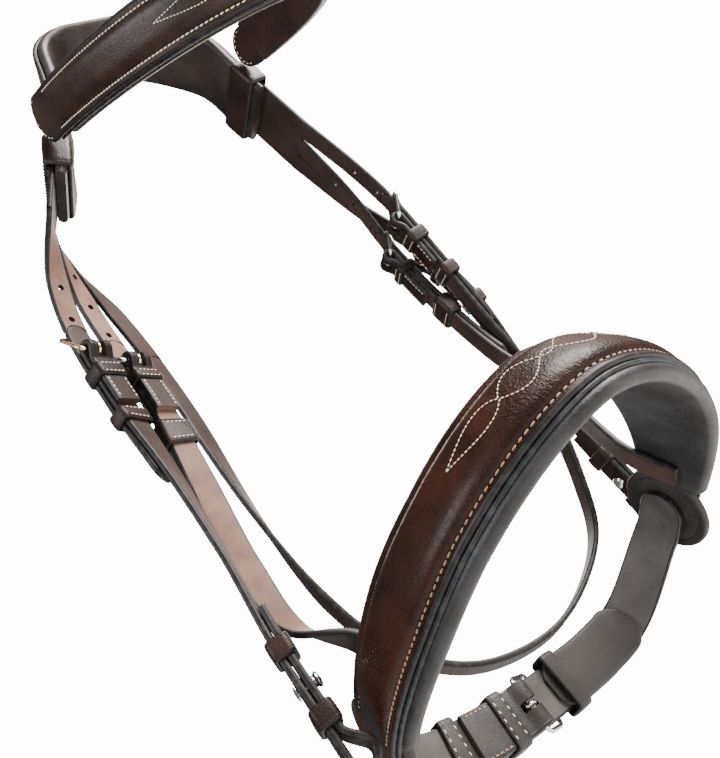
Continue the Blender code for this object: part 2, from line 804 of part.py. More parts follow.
def nose_route():
    """The noseband's inner face, from its left end over the nose to its right end."""
    side = Vector((math.cos(nose_yaw), math.sin(nose_yaw), 0))
    level = Vector((-math.sin(nose_yaw), math.cos(nose_yaw), 0))
    back = level * math.cos(nose_tilt) + Vector((0, 0, math.sin(nose_tilt)))
    up = side.cross(back)
    middle = Vector((nose_aside, nose_back, -nose_drop))
    flat = arch_points(nose_half_span, nose_depth, nose_arch_power, 0, nose_arch_turns)
    flat = [(-nose_half_span, -nose_end_reach)] + flat + [(nose_half_span, -nose_end_reach)]
    points = [middle + side * x - back * y for x, y in flat]
    widths = []
    for i in range(len(points)):
        run = (points[min(i + 1, len(points) - 1)] - points[max(i - 1, 0)]).normalized()
        grown = min(1, max(0, flat[i][1]) / nose_flare_run)
        widths.append(up + run.cross(up) * nose_flare * grown)
    return Route(points, widths, 1, steps=arch_steps)


def nose_width_at(route, s):
    """The noseband is widest over the nose and narrows towards the round pads."""
    away = abs(s - route.total / 2) / (route.total / 2)
    share = min(1, max(0, (away - nose_full_share) / (1 - nose_full_share)))
    share = share * share * (3 - 2 * share)
    return nose_width + (nose_end_width - nose_width) * share


def noseband(route):
    """The noseband's face with its raised centre, and the padded lining."""
    inset = disc_place + disc_radius + fit_gap
    inner = stops(inset, route.total - inset, arch_pitch)
    first = stops(0, inset, arch_pitch)[:-1]
    places = first + inner + [route.total - s for s in reversed(first)]

    def face_profile(s):
        half = nose_width_at(route, s) / 2
        ends = min(s, route.total - s)
        share = min(1, max(0, (ends - nose_raise_inset) / nose_raise_run))
        lift = nose_raise_height * share * share * (3 - 2 * share)
        row = half - nose_row_inset
        top, edge = nose_leather, nose_leather - edge_bevel
        shoulder, crest = row * shoulder_width_share, row * crest_width_share
        rise = top + lift * shoulder_height_share
        return [(-half, 0), (half, 0), (half, edge), (row, top), (shoulder, rise), (crest, top + lift),
                (-crest, top + lift), (-shoulder, rise), (-row, top), (-half, edge)]

    ribbon(route, places, face_profile, "noseband_face", dark_leather())

    def lining_profile(s):
        half = nose_width_at(route, s) / 2 + nose_lining_margin
        top = -soft_gap
        low, roll = top - nose_lining_height, nose_lining_height / 2
        return [(-half, top - roll), (-half + roll * 0.3, low + roll * 0.3), (-half + roll, low),
                (half - roll, low), (half - roll * 0.3, low + roll * 0.3), (half, top - roll),
                (half - roll, top), (-half + roll, top)]

    ribbon(route, inner, lining_profile, "noseband_lining", lining_leather())


def pad_centre(nose, side):
    """Like along(), in the plane of the round pad, which lies flat inside the noseband's end."""
    near, far = disc_place, disc_place + disc_radius
    if side == "right":
        near, far = nose.total - near, nose.total - far
    here, run, width, normal = nose.along(near)
    run = (nose.along(far)[0] - here).normalized() * (1 if side == "left" else -1)
    width = (width - run * width.dot(run)).normalized()
    return here, run, width, run.cross(width)


def end_pad(nose, side):
    """A round leather pad on the inside of the noseband's end."""
    here, run, width, normal = pad_centre(nose, side)
    top, low = -soft_gap, -soft_gap - disc_thickness
    edge = disc_thickness / 4
    rings = []
    for v, r in ((top, disc_radius - edge), (top - edge, disc_radius), (low + edge, disc_radius),
                 (low, disc_radius - edge)):
        rings.append([here + normal * v + run * r * math.cos(2 * math.pi * k / disc_sides)
                      + width * r * math.sin(2 * math.pi * k / disc_sides) for k in range(disc_sides)])
    rings_to_object(rings, "round_pad_" + side, lining_leather())


def hook_stud(route, s, low, high, name):
    """A turned stud through both layers of the strap's end, its head on the inner side."""
    here, run, width, normal = route.along(s)
    head = stud_head_height
    profile = ((high + keeper_gap + head / 2, stud_radius), (high + keeper_gap, stud_radius),
               (high + keeper_gap, stud_neck), (low - keeper_gap, stud_neck),
               (low - keeper_gap, stud_radius * stud_waist_share), (low - keeper_gap - head, stud_radius),
               (low - keeper_gap - head * 2, stud_radius * stud_waist_share))
    rings = [[here + normal * v + run * r * math.cos(2 * math.pi * k / hole_sides)
              + width * r * math.sin(2 * math.pi * k / hole_sides) for k in range(hole_sides)]
             for v, r in profile]
    rings_to_object(rings, name, steel())


def cheekpiece(route, side):
    """Buckled to the crown's tail, folded round an eye for the bit at its lower end."""
    main_v, back_v, fold, bar_v = strap_layers()
    tail_s = tail_end(route, "cheek", side)
    bar_s = tail_s + buckle_below_tail
    start = tail_s + flex_gap
    buckled_end(route, "cheek", side, bar_s, start, start + cheek_billet_length,
                (("fixed_keeper", fixed_keeper_below, keeper_length, False),
                 ("runner", runner_below, keeper_length, True)))
    end_s = route.total
    eye = bit_eye + leather / 2
    path = buckled_path(bar_s, end_s)
    path += half_turn(end_s, main_v - eye, eye, 0.5 * math.pi, -0.5 * math.pi, bit_eye_turns)
    path.append((end_s, main_v - 2 * eye))
    path += [(s, back_v) for s in stops(end_s - eye * bit_throat_share, end_s - bit_turn_up, -span_pitch)]
    strap = folded(route, path, strap_width, leather, "cheekpiece_" + side, flesh_leather())
    low, high = back_v - leather / 2, main_v + leather / 2
    stud_s = end_s - bit_turn_up * stud_place_share
    across = 2 * (stud_neck + keeper_gap)
    cut(strap, [slot_cutter(route, bar_s, bar_v, "cheek_slot_" + side),
                punch(route, stud_s, across, across, low - leather, high + leather, "stud_hole_" + side)])
    hook_stud(route, stud_s, low, high, "hook_stud_" + side)
    for word, share in bit_keeper_shares:
        ring_keeper(route, end_s - bit_turn_up * share, keeper_length, strap_width + 2 * keeper_gap,
                    low - keeper_gap, high + keeper_gap, keeper_wall,
                    "bit_keeper_" + word + "_" + side, dark_leather())


def hanger(route, side):
    """The noseband's hanger: buckled to the crown's tail, its lower end inside the noseband."""
    main_v, back_v, fold, bar_v = strap_layers()
    tail_s = tail_end(route, "hanger", side)
    bar_s = tail_s + buckle_below_tail
    start = tail_s + flex_gap
    buckled_end(route, "hanger", side, bar_s, start, start + hanger_billet_length,
                (("fixed_keeper", small_keeper_below, small_keeper_length, False),
                 ("runner", wide_runner_below, wide_keeper_length, True)))
    strap = folded(route, buckled_path(bar_s, route.total), strap_width, leather,
                   "noseband_hanger_" + side, flesh_leather())
    cut(strap, [slot_cutter(route, bar_s, bar_v, "hanger_slot_" + side)])


def throatlatch(route):
    """Buckled on the right, under the jaw, and up into the crown's layer at the left flex."""
    main_v, back_v, fold, bar_v = strap_layers()
    tail_s = tail_end(route, "throat", "right")
    bar_s = tail_s + buckle_below_tail
    start = tail_s + flex_gap
    buckled_end(route, "throat", "", bar_s, start, start + throat_billet_length,
                (("fixed_keeper", fixed_keeper_below, keeper_length, False),
                 ("runner", runner_below, keeper_length, True)))
    end_s = tail_end(route, "throat", "left") - flex_gap
    reach = strap_width / 2
    path, widths = [], []
    for s, v in buckled_path(bar_s, end_s - reach):
        share = min(1, max(0, (s - end_s + throat_rejoin) / (throat_rejoin - reach)))
        share = share * share * (3 - 2 * share)
        path.append((s, v + (leather / 2 - main_v) * share))
        widths.append(strap_width)
    for q in reversed(tip_shares[:-1]):
        path.append((end_s - reach * q, leather / 2))
        widths.append(max(round_tip(strap_width, reach, end_s, end_s - reach * q), edge_bevel * 2))
    strap = folded(route, path, widths, leather, "throatlatch", flesh_leather())
    cut(strap, [slot_cutter(route, bar_s, bar_v, "throat_slot")])


def chin_route(nose):
    """From the right round pad's middle, behind the jaw, to the left round pad's middle."""
    pad_inside = 2 * soft_gap + disc_thickness
    ends = {}
    for side, depth in (("right", pad_inside + leather), ("left", pad_inside - layer_gap)):
        here, run, width, normal = pad_centre(nose, side)
        way = -run if side == "left" else run
        start = here - normal * depth
        ends[side] = (start, start + way * chin_tab_run,
                      start + way * chin_tab_reach - normal * chin_tab_dip, width)
    middle = (ends["right"][0] + ends["left"][0]) / 2
    points = list(ends["right"][:3])
    points += [middle + p for p in blend_points(chin_shares, (nose_half_span, chin_reach, chin_drop))]
    points += list(reversed(ends["left"][:3]))
    level = [Vector((0, 0, 1))] * len(chin_shares)
    widths = [ends["right"][3]] * 3 + level + [ends["left"][3]] * 3
    return Route(points, widths, 1, steps=arch_steps + 1)


def chin_set(route):
    """The chin strap: a long billet from the left pad, buckled to the strap from the right pad."""
    main_v, back_v, fold, bar_v = strap_layers()
    reach = chin_strap_width / 2
    bar_s = route.total - chin_buckle_back
    places = buckled_end(route, "chin", "", bar_s, -reach, bar_s + chin_tip_reach,
                         (("fixed_keeper", fixed_keeper_below, keeper_length, False),
                          ("runner", chin_runner_below, keeper_length, True)),
                         size=chin_strap_width, pitch=chin_pitch)
    path = buckled_path(bar_s, route.total, chin_pitch)
    widths = [chin_strap_width] * len(path)
    for q in reversed(tip_shares[:-1]):
        s = route.total + reach - reach * q
        path.append((s, main_v))
        widths.append(max(round_tip(chin_strap_width, reach, route.total + reach, s), edge_bevel * 2))
    strap = folded(route, path, widths, leather, "chin_strap", dark_leather())
    cut(strap, [slot_cutter(route, bar_s, bar_v, "chin_slot")])
    half, top = reach + chin_pad_margin, -fit_gap
    low, roll = top - chin_pad_height, chin_pad_height / 2
    profile = [(-half, top - roll), (-half + roll, low), (half - roll, low), (half, top - roll),
               (half - roll, top), (-half + roll, top)]
    end_s = bar_s - chin_pad_to_buckle
    places = [s for s in places if chin_pad_start < s < end_s]
    ribbon(route, places, lambda s: profile, "chin_pad", lining_leather())
    ring_keeper(route, end_s - chin_loop_inset, keeper_length, 2 * (half + fit_gap), low - fit_gap,
                leather + fit_gap, keeper_wall, "chin_loop", dark_leather())


def set_origin(name, point):
    """Puts a piece's origin on its joint without moving the piece."""
    item = bpy.data.objects[name]
    for vertex in item.data.vertices:
        vertex.co -= point
    item.location = point


def bridle():
    """Builds every piece and gives the places of the joints: a point and a direction each."""
    clear_scene()
    main_v, back_v, fold, bar_v = strap_layers()
    crown = crown_route()
    nose = nose_route()
    throat = throat_route(crown)
    routes = {("throat", "left"): throat, ("throat", "right"): throat}
    for side in ("left", "right"):
        routes[("cheek", side)] = cheek_route(crown, side)
        routes[("hanger", side)] = hanger_route(crown, nose, side)
    chin = chin_route(nose)
    crown_piece(crown, routes)
    crown_lining(crown)
    brow_loops(crown)
    browband(crown)
    noseband(nose)
    for side in ("left", "right"):
        end_pad(nose, side)
        cheekpiece(routes[("cheek", side)], side)
        hanger(routes[("hanger", side)], side)
    throatlatch(throat)
    chin_set(chin)

    joints = {}
    hinge, across, forward = brow_hinge(crown)
    joints["browband"] = (hinge, across)
    flex = {}
    for (part, side), route in routes.items():
        s = tail_end(route, part, side)
        into = -1 if part == "throat" and side == "left" else 1
        here, run, width, normal = route.along(s + into * flex_gap)
        flex[(part, side)] = (here + normal * leather, width)
        here, run, width, normal = route.along(s + into * (flex_gap + strap_width / 2))
        flex[(part, side, "round")] = here + normal * leather / 2
        if part == "cheek":
            joints["cheek_" + side] = flex[(part, side)]
        if into == 1:
            bar_s = s + buckle_below_tail
            name = part if part == "throat" else part + "_" + side
            here, run, width, normal = route.along(bar_s)
            joints[name + "_tongue"] = (here + normal * bar_v, width)
            below = wide_runner_below if part == "hanger" else runner_below
            here, run, width, normal = route.along(bar_s + below)
            joints[name + "_runner"] = (here, run)
    for part in ("hanger", "throat"):
        left, right = flex[(part, "left", "round")], flex[(part, "right", "round")]
        joints[part] = ((left + right) / 2, (right - left).normalized())
    right, left = chin.along(0)[0], chin.along(chin.total)[0]
    joints["chin"] = ((left + right) / 2, (right - left).normalized())
    bar_s = chin.total - chin_buckle_back
    here, run, width, normal = chin.along(bar_s)
    joints["chin_tongue"] = (here + normal * bar_v, width)
    here, run, width, normal = chin.along(bar_s + chin_runner_below)
    joints["chin_runner"] = (here, run)
    return joints, routes, crown, nose, chin


joints, routes, crown, nose, chin = bridle()

bodies = {
    "browband": ("browband_strap", "browband_raised_centre", "browband_lining"),
    "hanger": ("noseband_face", "noseband_lining", "round_pad_left", "round_pad_right"),
    "throat": ("throatlatch", "throat_buckle", "throat_billet", "throat_fixed_keeper"),
    "chin": ("chin_strap", "chin_buckle", "chin_billet", "chin_fixed_keeper", "chin_pad",
             "chin_loop"),
}
for side in ("left", "right"):
    bodies["cheek_" + side] = tuple(name + "_" + side for name in (
        "cheekpiece", "cheek_buckle", "cheek_billet", "cheek_fixed_keeper", "hook_stud",
        "bit_keeper_upper", "bit_keeper_lower"))
    bodies["hanger"] += tuple(name + "_" + side for name in (
        "noseband_hanger", "hanger_buckle", "hanger_billet", "hanger_fixed_keeper"))
for body, names in bodies.items():
    for name in names:
        set_origin(name, joints[body][0])
for body in ("cheek", "hanger"):
    for side in ("left", "right"):
        for word in ("tongue", "runner"):
            name = label(body, word, side)
            set_origin(name, joints[body + "_" + side + "_" + word][0])
for body in ("throat", "chin"):
    for word in ("tongue", "runner"):
        set_origin(label(body, word, ""), joints[body + "_" + word][0])
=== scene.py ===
import math
import random

import bpy
from mathutils import Matrix, Vector


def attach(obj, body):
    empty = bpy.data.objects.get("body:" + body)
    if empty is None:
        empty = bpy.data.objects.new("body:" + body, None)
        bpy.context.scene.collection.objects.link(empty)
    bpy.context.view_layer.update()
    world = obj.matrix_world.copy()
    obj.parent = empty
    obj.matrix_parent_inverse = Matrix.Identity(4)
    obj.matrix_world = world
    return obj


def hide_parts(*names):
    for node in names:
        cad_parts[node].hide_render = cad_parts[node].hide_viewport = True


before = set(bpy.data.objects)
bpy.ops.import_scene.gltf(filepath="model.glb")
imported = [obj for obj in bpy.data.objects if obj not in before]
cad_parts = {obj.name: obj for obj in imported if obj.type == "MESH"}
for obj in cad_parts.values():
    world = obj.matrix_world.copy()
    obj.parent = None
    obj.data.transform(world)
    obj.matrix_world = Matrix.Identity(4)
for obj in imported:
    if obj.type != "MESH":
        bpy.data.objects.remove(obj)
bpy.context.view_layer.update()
random.seed(7)
print("frame loaded:", len(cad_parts), "pieces")

# Sizes that several pieces share, in metres. They follow the solids.
stock = {"strapWidth": 0.013, "thickness": 0.003, "layerGap": 0.0003, "softGap": 0.0006,
         "sideReach": 0.100, "foreAft": 0.100, "noseDrop": 0.415}
# how far apart the cross-sections of each kind of piece are laid
spacing = {"face": 0.0016, "round": 0.0020, "strap": 0.0022, "crown": 0.0024, "piping": 0.003}


# shader helper
class Wire:
    # one socket of a node tree, used like a number
    def __init__(self, shade, socket):
        self.shade = shade
        self.socket = socket

    def calc(self, operation, *others):
        return self.shade.node("ShaderNodeMath", {"operation": operation}, [self, *others])

    def __add__(self, other):
        return self.calc("ADD", other)

    def __radd__(self, other):
        return self.calc("ADD", other)

    def __sub__(self, other):
        return self.calc("SUBTRACT", other)

    def __rsub__(self, other):
        return self.shade.node("ShaderNodeMath", {"operation": "SUBTRACT"}, [other, self])

    def __mul__(self, other):
        return self.calc("MULTIPLY", other)

    def __truediv__(self, other):
        return self.calc("DIVIDE", other)

    def band(self, centre, half):
        # 1 on a line at centre, falling to 0 at half away
        away = (self - centre).calc("ABSOLUTE")
        return 1 - (away / half).calc("MINIMUM", 1.0)

    def ramp(self, low, high):
        return self.shade.node("ShaderNodeMapRange", {"interpolation_type": "SMOOTHSTEP"},
                               {"Value": self, "From Min": low, "From Max": high}, "Result")


class Shade:
    # a material's node tree
    def __init__(self, name):
        old = bpy.data.materials.get(name)
        if old:
            bpy.data.materials.remove(old)
        self.material = bpy.data.materials.new(name)
        self.material.use_nodes = True
        self.tree = self.material.node_tree
        self.shader = self.tree.nodes["Principled BSDF"]

    def node(self, kind, settings=None, inputs=None, out=0):
        made = self.tree.nodes.new(kind)
        for key, value in (settings or {}).items():
            setattr(made, key, value)
        pairs = enumerate(inputs) if isinstance(inputs, list) else (inputs or {}).items()
        for key, value in pairs:
            if isinstance(value, Wire):
                self.tree.links.new(value.socket, made.inputs[key])
            else:
                made.inputs[key].default_value = value
        return Wire(self, made.outputs[out])

    def coords(self, kind="Object"):
        return self.node("ShaderNodeTexCoord", out=kind)

    def noise(self, scale, detail=3.0, rough=0.5):
        return self.node("ShaderNodeTexNoise", {}, {"Vector": self.coords(), "Scale": scale,
                                                    "Detail": detail, "Roughness": rough}, "Fac")

    def cells(self, scale):
        return self.node("ShaderNodeTexVoronoi", {}, {"Vector": self.coords(), "Scale": scale}, "Distance")

    def colourMix(self, share, first, second):
        made = self.tree.nodes.new("ShaderNodeMix")
        made.data_type = "RGBA"
        for key, value in ((0, share), (6, first), (7, second)):
            if isinstance(value, Wire):
                self.tree.links.new(value.socket, made.inputs[key])
            elif key:
                made.inputs[key].default_value = (*value, 1.0)
            else:
                made.inputs[key].default_value = value
        return Wire(self, made.outputs[2])

    def bump(self, height, strength, distance, under=None):
        inputs = {"Height": height, "Strength": strength, "Distance": distance}
        if under:
            inputs["Normal"] = under
        return self.node("ShaderNodeBump", {}, inputs, "Normal")

    def set(self, **values):
        names = {"colour": "Base Color", "roughness": "Roughness", "metallic": "Metallic",
                 "coat": "Coat Weight", "coatRoughness": "Coat Roughness", "normal": "Normal",
                 "sheen": "Sheen Weight", "specular": "Specular IOR Level"}
        for key, value in values.items():
            socket = self.shader.inputs[names[key]]
            if isinstance(value, Wire):
                self.tree.links.new(value.socket, socket)
            elif isinstance(value, tuple):
                socket.default_value = (*value, 1.0)
            else:
                socket.default_value = value
        return self.material


# finishes
# the creased line's place from a strap's edge and its half width, and how far in the edge is rubbed
crease = {"inset": 0.0016, "half": 0.00032, "rubbed": (0.0002, 0.0011)}


def shaded(colour, share):
    return tuple(c * share for c in colour)


def grainLeather(name, dark, light, grain, gloss, glow=0.5, shine=0.20, relief=0.50):
    # finished leather: pebbled grain, a creased line near the edge, rubbed edges
    # the strap map holds the distance from the edge and the distance along the strap
    s = Shade(name)
    mapped = s.coords("UV")
    edge = s.node("ShaderNodeSeparateXYZ", {}, [mapped], 0)
    broad = s.noise(38.0, 4.0, 0.6)
    fine = s.noise(420.0, 3.0, 0.6)
    pores = s.cells(grain)
    colour = s.colourMix(broad.ramp(0.35, 0.68), dark, light)
    colour = s.colourMix((1 - pores.ramp(0.05, 0.45)) * 0.45, colour, shaded(dark, 0.40))
    rubbed = 1 - edge.ramp(*crease["rubbed"])
    colour = s.colourMix(rubbed * 0.75, colour, shaded(dark, 0.30))
    line = edge.band(crease["inset"], crease["half"])
    colour = s.colourMix(line * 0.55, colour, shaded(dark, 0.35))
    pebbles = s.cells(grain * 2.1)
    height = pores * 0.45 + pebbles * 0.55 + fine * 0.30 - line * 1.3
    folds = s.noise(70.0, 2.0, 0.5)
    normal = s.bump(height, relief, 0.00030, s.bump(folds, 0.07, 0.0012))
    roughness = gloss + (fine - 0.5) * 0.26 + (broad - 0.5) * 0.12 - rubbed * 0.06
    roughness = roughness + pebbles.ramp(0.2, 0.6) * 0.10
    return s.set(colour=colour, roughness=roughness.calc("MAXIMUM", 0.12), normal=normal,
                 coat=(1 - pores.ramp(0.1, 0.5)) * 0.08 + glow * 0.08, coatRoughness=0.26, specular=shine)


def fleshLeather(name, dark, light):
    # the unfinished inner side: fibrous, with a paler nap and darker handling marks
    s = Shade(name)
    edge = s.node("ShaderNodeSeparateXYZ", {}, [s.coords("UV")], 0)
    broad = s.noise(26.0, 4.0, 0.55)
    nap = s.noise(900.0, 2.0, 0.7)
    marks = s.noise(120.0, 4.0, 0.7)
    colour = s.colourMix(broad.ramp(0.30, 0.72), dark, light)
    colour = s.colourMix(marks.ramp(0.52, 0.75) * 0.35, colour, shaded(dark, 0.6))
    colour = s.colourMix((1 - edge.ramp(0.0003, 0.0013)) * 0.85, colour, shaded(dark, 0.22))
    height = nap * 0.8 + marks * 0.5
    normal = s.bump(height, 0.30, 0.00030)
    return s.set(colour=colour, roughness=(0.50 + marks * 0.22), normal=normal, coat=0.03,
                 coatRoughness=0.45, sheen=0.03, specular=0.18)


def edgePaint(name, colour):
    s = Shade(name)
    worn = s.noise(240.0, 4.0, 0.6)
    shade = s.colourMix(worn.ramp(0.40, 0.75), colour, tuple(c * 2.3 + 0.008 for c in colour))
    return s.set(colour=shade, roughness=0.34 + worn * 0.25, normal=s.bump(worn, 0.2, 0.0002),
                 coat=0.06, coatRoughness=0.3, specular=0.16)


def softLeather(name, dark, light, gloss):
    # thin soft leather over padding: fine creases across, a bluish sheen
    s = Shade(name)
    broad = s.noise(30.0, 4.0, 0.6)
    pores = s.cells(1500.0)
    creases = s.noise(210.0, 5.0, 0.65)
    colour = s.colourMix(broad.ramp(0.32, 0.70), dark, light)
    colour = s.colourMix(creases.ramp(0.55, 0.80) * 0.3, colour, shaded(dark, 0.5))
    normal = s.bump(pores * 0.5 + creases * 0.8, 0.35, 0.00040, s.bump(s.noise(60.0), 0.3, 0.0015))
    return s.set(colour=colour, roughness=gloss + (creases - 0.5) * 0.25, normal=normal, coat=0.04,
                 coatRoughness=0.4, sheen=0.02, specular=0.17)


def thread(name, colour):
    # waxed thread, its twist shown by fine slanting bands
    s = Shade(name)
    twist = s.noise(2600.0, 2.0, 0.6)
    shade = s.colourMix(twist.ramp(0.3, 0.7), shaded(colour, 0.72), colour)
    return s.set(colour=shade, roughness=0.55, normal=s.bump(twist, 0.4, 0.00015), sheen=0.2)


def polished(name, colour, rough):
    s = Shade(name)
    smear = s.noise(130.0, 5.0, 0.65)
    scratch = s.noise(1400.0, 2.0, 0.5)
    tarnish = s.noise(55.0, 3.0, 0.6)
    shade = s.colourMix(tarnish.ramp(0.45, 0.75) * 0.5, colour, shaded(colour, 0.62))
    return s.set(colour=shade, roughness=rough + smear.ramp(0.4, 0.8) * 0.16, metallic=1.0,
                 normal=s.bump(scratch, 0.05, 0.0001))


finishes = {
    "face": grainLeather("nosebandLeather", (0.0100, 0.0031, 0.0015), (0.0275, 0.0084, 0.0041), 700.0, 0.34,
                         glow=1.2, shine=0.10, relief=0.90),
    "brow": grainLeather("browbandLeather", (0.0110, 0.0048, 0.0033), (0.030, 0.0124, 0.0081), 820.0, 0.36),
    "grain": grainLeather("strapLeather", (0.0090, 0.0039, 0.0028), (0.0245, 0.0104, 0.0075), 950.0, 0.40,
                          shine=0.16),
    "chin": grainLeather("chinStrapLeather", (0.0138, 0.0120, 0.0115), (0.0325, 0.0290, 0.0280), 980.0, 0.46,
                         shine=0.30),
    "chinLining": softLeather("chinPadLeather", (0.0140, 0.0125, 0.0120), (0.0310, 0.0280, 0.0268), 0.52),
    "flesh": fleshLeather("strapInside", (0.084, 0.041, 0.028), (0.196, 0.112, 0.081)),
    # painted shade: the same flesh side as strapInside, about five times darker, for insides that lie in
    # shade
    "shadedFlesh": fleshLeather("strapInsideShaded", (0.0160, 0.0080, 0.0062), (0.0430, 0.0228, 0.0178)),
    "chinFlesh": fleshLeather("chinInside", (0.0310, 0.0278, 0.0268), (0.0740, 0.0672, 0.0652)),
    "edge": edgePaint("strapEdge", (0.0078, 0.0066, 0.0066)),
    "piping": edgePaint("pipingEdge", (0.012, 0.013, 0.015)),
    "lining": softLeather("liningLeather", (0.0098, 0.0095, 0.0099), (0.0310, 0.0306, 0.0320), 0.42),
    "crownLining": softLeather("crownLiningLeather", (0.0140, 0.0095, 0.0086), (0.0395, 0.0282, 0.0258),
                               0.42),
    "warmLining": softLeather("browLining", (0.0122, 0.0050, 0.0039), (0.0310, 0.0132, 0.0102), 0.42),
    "pad": softLeather("roundPadLeather", (0.0112, 0.0092, 0.0092), (0.0285, 0.0236, 0.0236), 0.60),
    "tan": thread("tanThread", (0.29, 0.150, 0.080)),
    "cream": thread("creamThread", (0.66, 0.56, 0.43)),
    "steel": polished("buckleSteel", (0.70, 0.68, 0.63), 0.16),
    # painted reflection: the buckles are steel, and this copy is painted gold for the warm reflections they
    # show
    "brass": polished("buckleSteelWarmReflection", (0.84, 0.57, 0.26), 0.17),
}
print("finishes made:", len(finishes))


# lines that the straps follow
def through(four, t):
    a, b, c, d = four
    return 0.5 * ((2 * b) + (c - a) * t + (2 * a - 5 * b + 4 * c - d) * t * t
                  + (3 * b - a - 3 * c + d) * t * t * t)


class Route:
    # a smooth line with the strap's width direction at each place
    def __init__(self, points, widths, outward, steps=14):
        self.outward = outward
        points = [Vector(p) for p in points]
        widths = [Vector(w) for w in widths]
        padded = [points[0] * 2 - points[1]] + points + [points[-1] * 2 - points[-2]]
        turned = [widths[0]] + widths + [widths[-1]]
        self.places, self.across = [], []
        for i in range(1, len(padded) - 2):
            count = steps + 1 if i == len(padded) - 3 else steps
            for k in range(count):
                self.places.append(through(padded[i - 1:i + 3], k / steps))
                self.across.append(turned[i].lerp(turned[i + 1], k / steps).normalized())
        self.lengths = [0.0]
        for a, b in zip(self.places, self.places[1:]):
            self.lengths.append(self.lengths[-1] + (b - a).length)
        self.total = self.lengths[-1]

    def place(self, s):
        if s <= 0:
            return self.places[0] + (self.places[1] - self.places[0]).normalized() * s, self.across[0]
        if s >= self.total:
            run = (self.places[-1] - self.places[-2]).normalized()
            return self.places[-1] + run * (s - self.total), self.across[-1]
        low, high = 0, len(self.lengths) - 1
        while high - low > 1:
            middle = (low + high) // 2
            if self.lengths[middle] < s:
                low = middle
            else:
                high = middle
        t = (s - self.lengths[low]) / (self.lengths[high] - self.lengths[low])
        return self.places[low].lerp(self.places[high], t), self.across[low].lerp(self.across[high], t)

    def along(self, s):
        here, across = self.place(s)
        run = (self.place(s + 0.003)[0] - self.place(s - 0.003)[0]).normalized()
        width = (across - run * across.dot(run)).normalized()
        return here, run, width, run.cross(width) * self.outward

    def at(self, s, u, v):
        here, run, width, normal = self.along(s)
        return here + width * u + normal * v

    def heightPlace(self, height, last=False):
        order = range(len(self.places) - 1, 0, -1) if last else range(1, len(self.places))
        for i in order:
            a, b = self.places[i - 1].z, self.places[i].z
            if (a - height) * (b - height) <= 0 and a != b:
                return self.lengths[i - 1] + (a - height) / (a - b) * (self.lengths[i] - self.lengths[i - 1])
        return self.total


def scaled(rows, sizes):
    return [Vector((a * b for a, b in zip(row, sizes))) for row in rows]


def stops(start, end, pitch):
    count = max(1, math.ceil(abs(end - start) / pitch))
    return [start + (end - start) * k / count for k in range(count + 1)]


def ease(share):
    # from 0 to 1 with a soft start and a soft end
    share = min(1, max(0, share))
    return share * share * (3 - 2 * share)


hang = (stock["sideReach"], stock["foreAft"], stock["noseDrop"])
headpiece = {"width": 0.038, "halfSpan": 0.063, "rise": 0.072, "lean": 0.013, "slit": 0.0008,
             "lining": 0.006, "liningMargin": 0.002, "liningEase": 0.006, "liningLift": 0.0002,
             "rollOut": 0.0006, "channel": 0.0078, "channelHalf": 0.0011, "channelDepth": 0.0012,
             "seat": 0.030, "loopHeights": {"left": -0.089, "right": -0.067}, "belowLoop": 0.014,
             "horns": 0.0046, "socketGap": 0.0008, "firstHole": 0.0155,
             "tailHoles": {"cheek": 2, "hanger": 3}, "tailOver": 0.0006, "rowInset": 0.0026,
             "rowSeat": 0.0155}
crownRows = ((-1.36, 2.10, -1.75), (-1.17, 1.62, -1.46), (-0.99, 1.10, -1.14), (-0.77, 0.62, -0.70),
             (-0.63, 0.25, -0.22), (-0.40, 0.04, -0.035), (-0.12, 0.0, 0.0), (0.12, 0.0, 0.0),
             (0.40, 0.04, -0.035), (0.70, 0.25, -0.22), (0.99, 0.62, -0.50), (1.07, 1.10, -0.92),
             (1.14, 1.60, -1.30), (1.22, 2.15, -1.70))
crownTurns = ((-0.25, 0.97, 0), (-0.20, 0.98, 0), (-0.10, 0.99, 0)) + ((0, 1, 0),) * 11


def crownMiddle(route):
    for i in range(1, len(route.places)):
        a, b = route.places[i - 1].x, route.places[i].x
        if a <= 0 < b:
            return route.lengths[i - 1] + a / (a - b) * (route.lengths[i] - route.lengths[i - 1])
    return route.total / 2


def crownLine():
    points = scaled(crownRows, (headpiece["halfSpan"], headpiece["lean"], headpiece["rise"]))
    across = [Vector(w) for w in crownTurns]
    flat = Route(points, across, 1, 4)
    here, run, width, normal = flat.along(crownMiddle(flat) - headpiece["seat"] / 2)
    lift = (here - normal * (headpiece["lining"] + stock["softGap"])).z
    return Route([p - Vector((0, 0, lift)) for p in points], across, 1)


def archRow(halfSpan, depth, power, count):
    made = []
    for k in range(count + 1):
        angle = math.pi / 2 * (2 * k / count - 1)
        side, front = math.sin(angle), abs(math.cos(angle))
        x = halfSpan * math.copysign(abs(side) ** (2 / power), side)
        y = depth * front ** (2 / power)
        made.append((x, y))
    return made


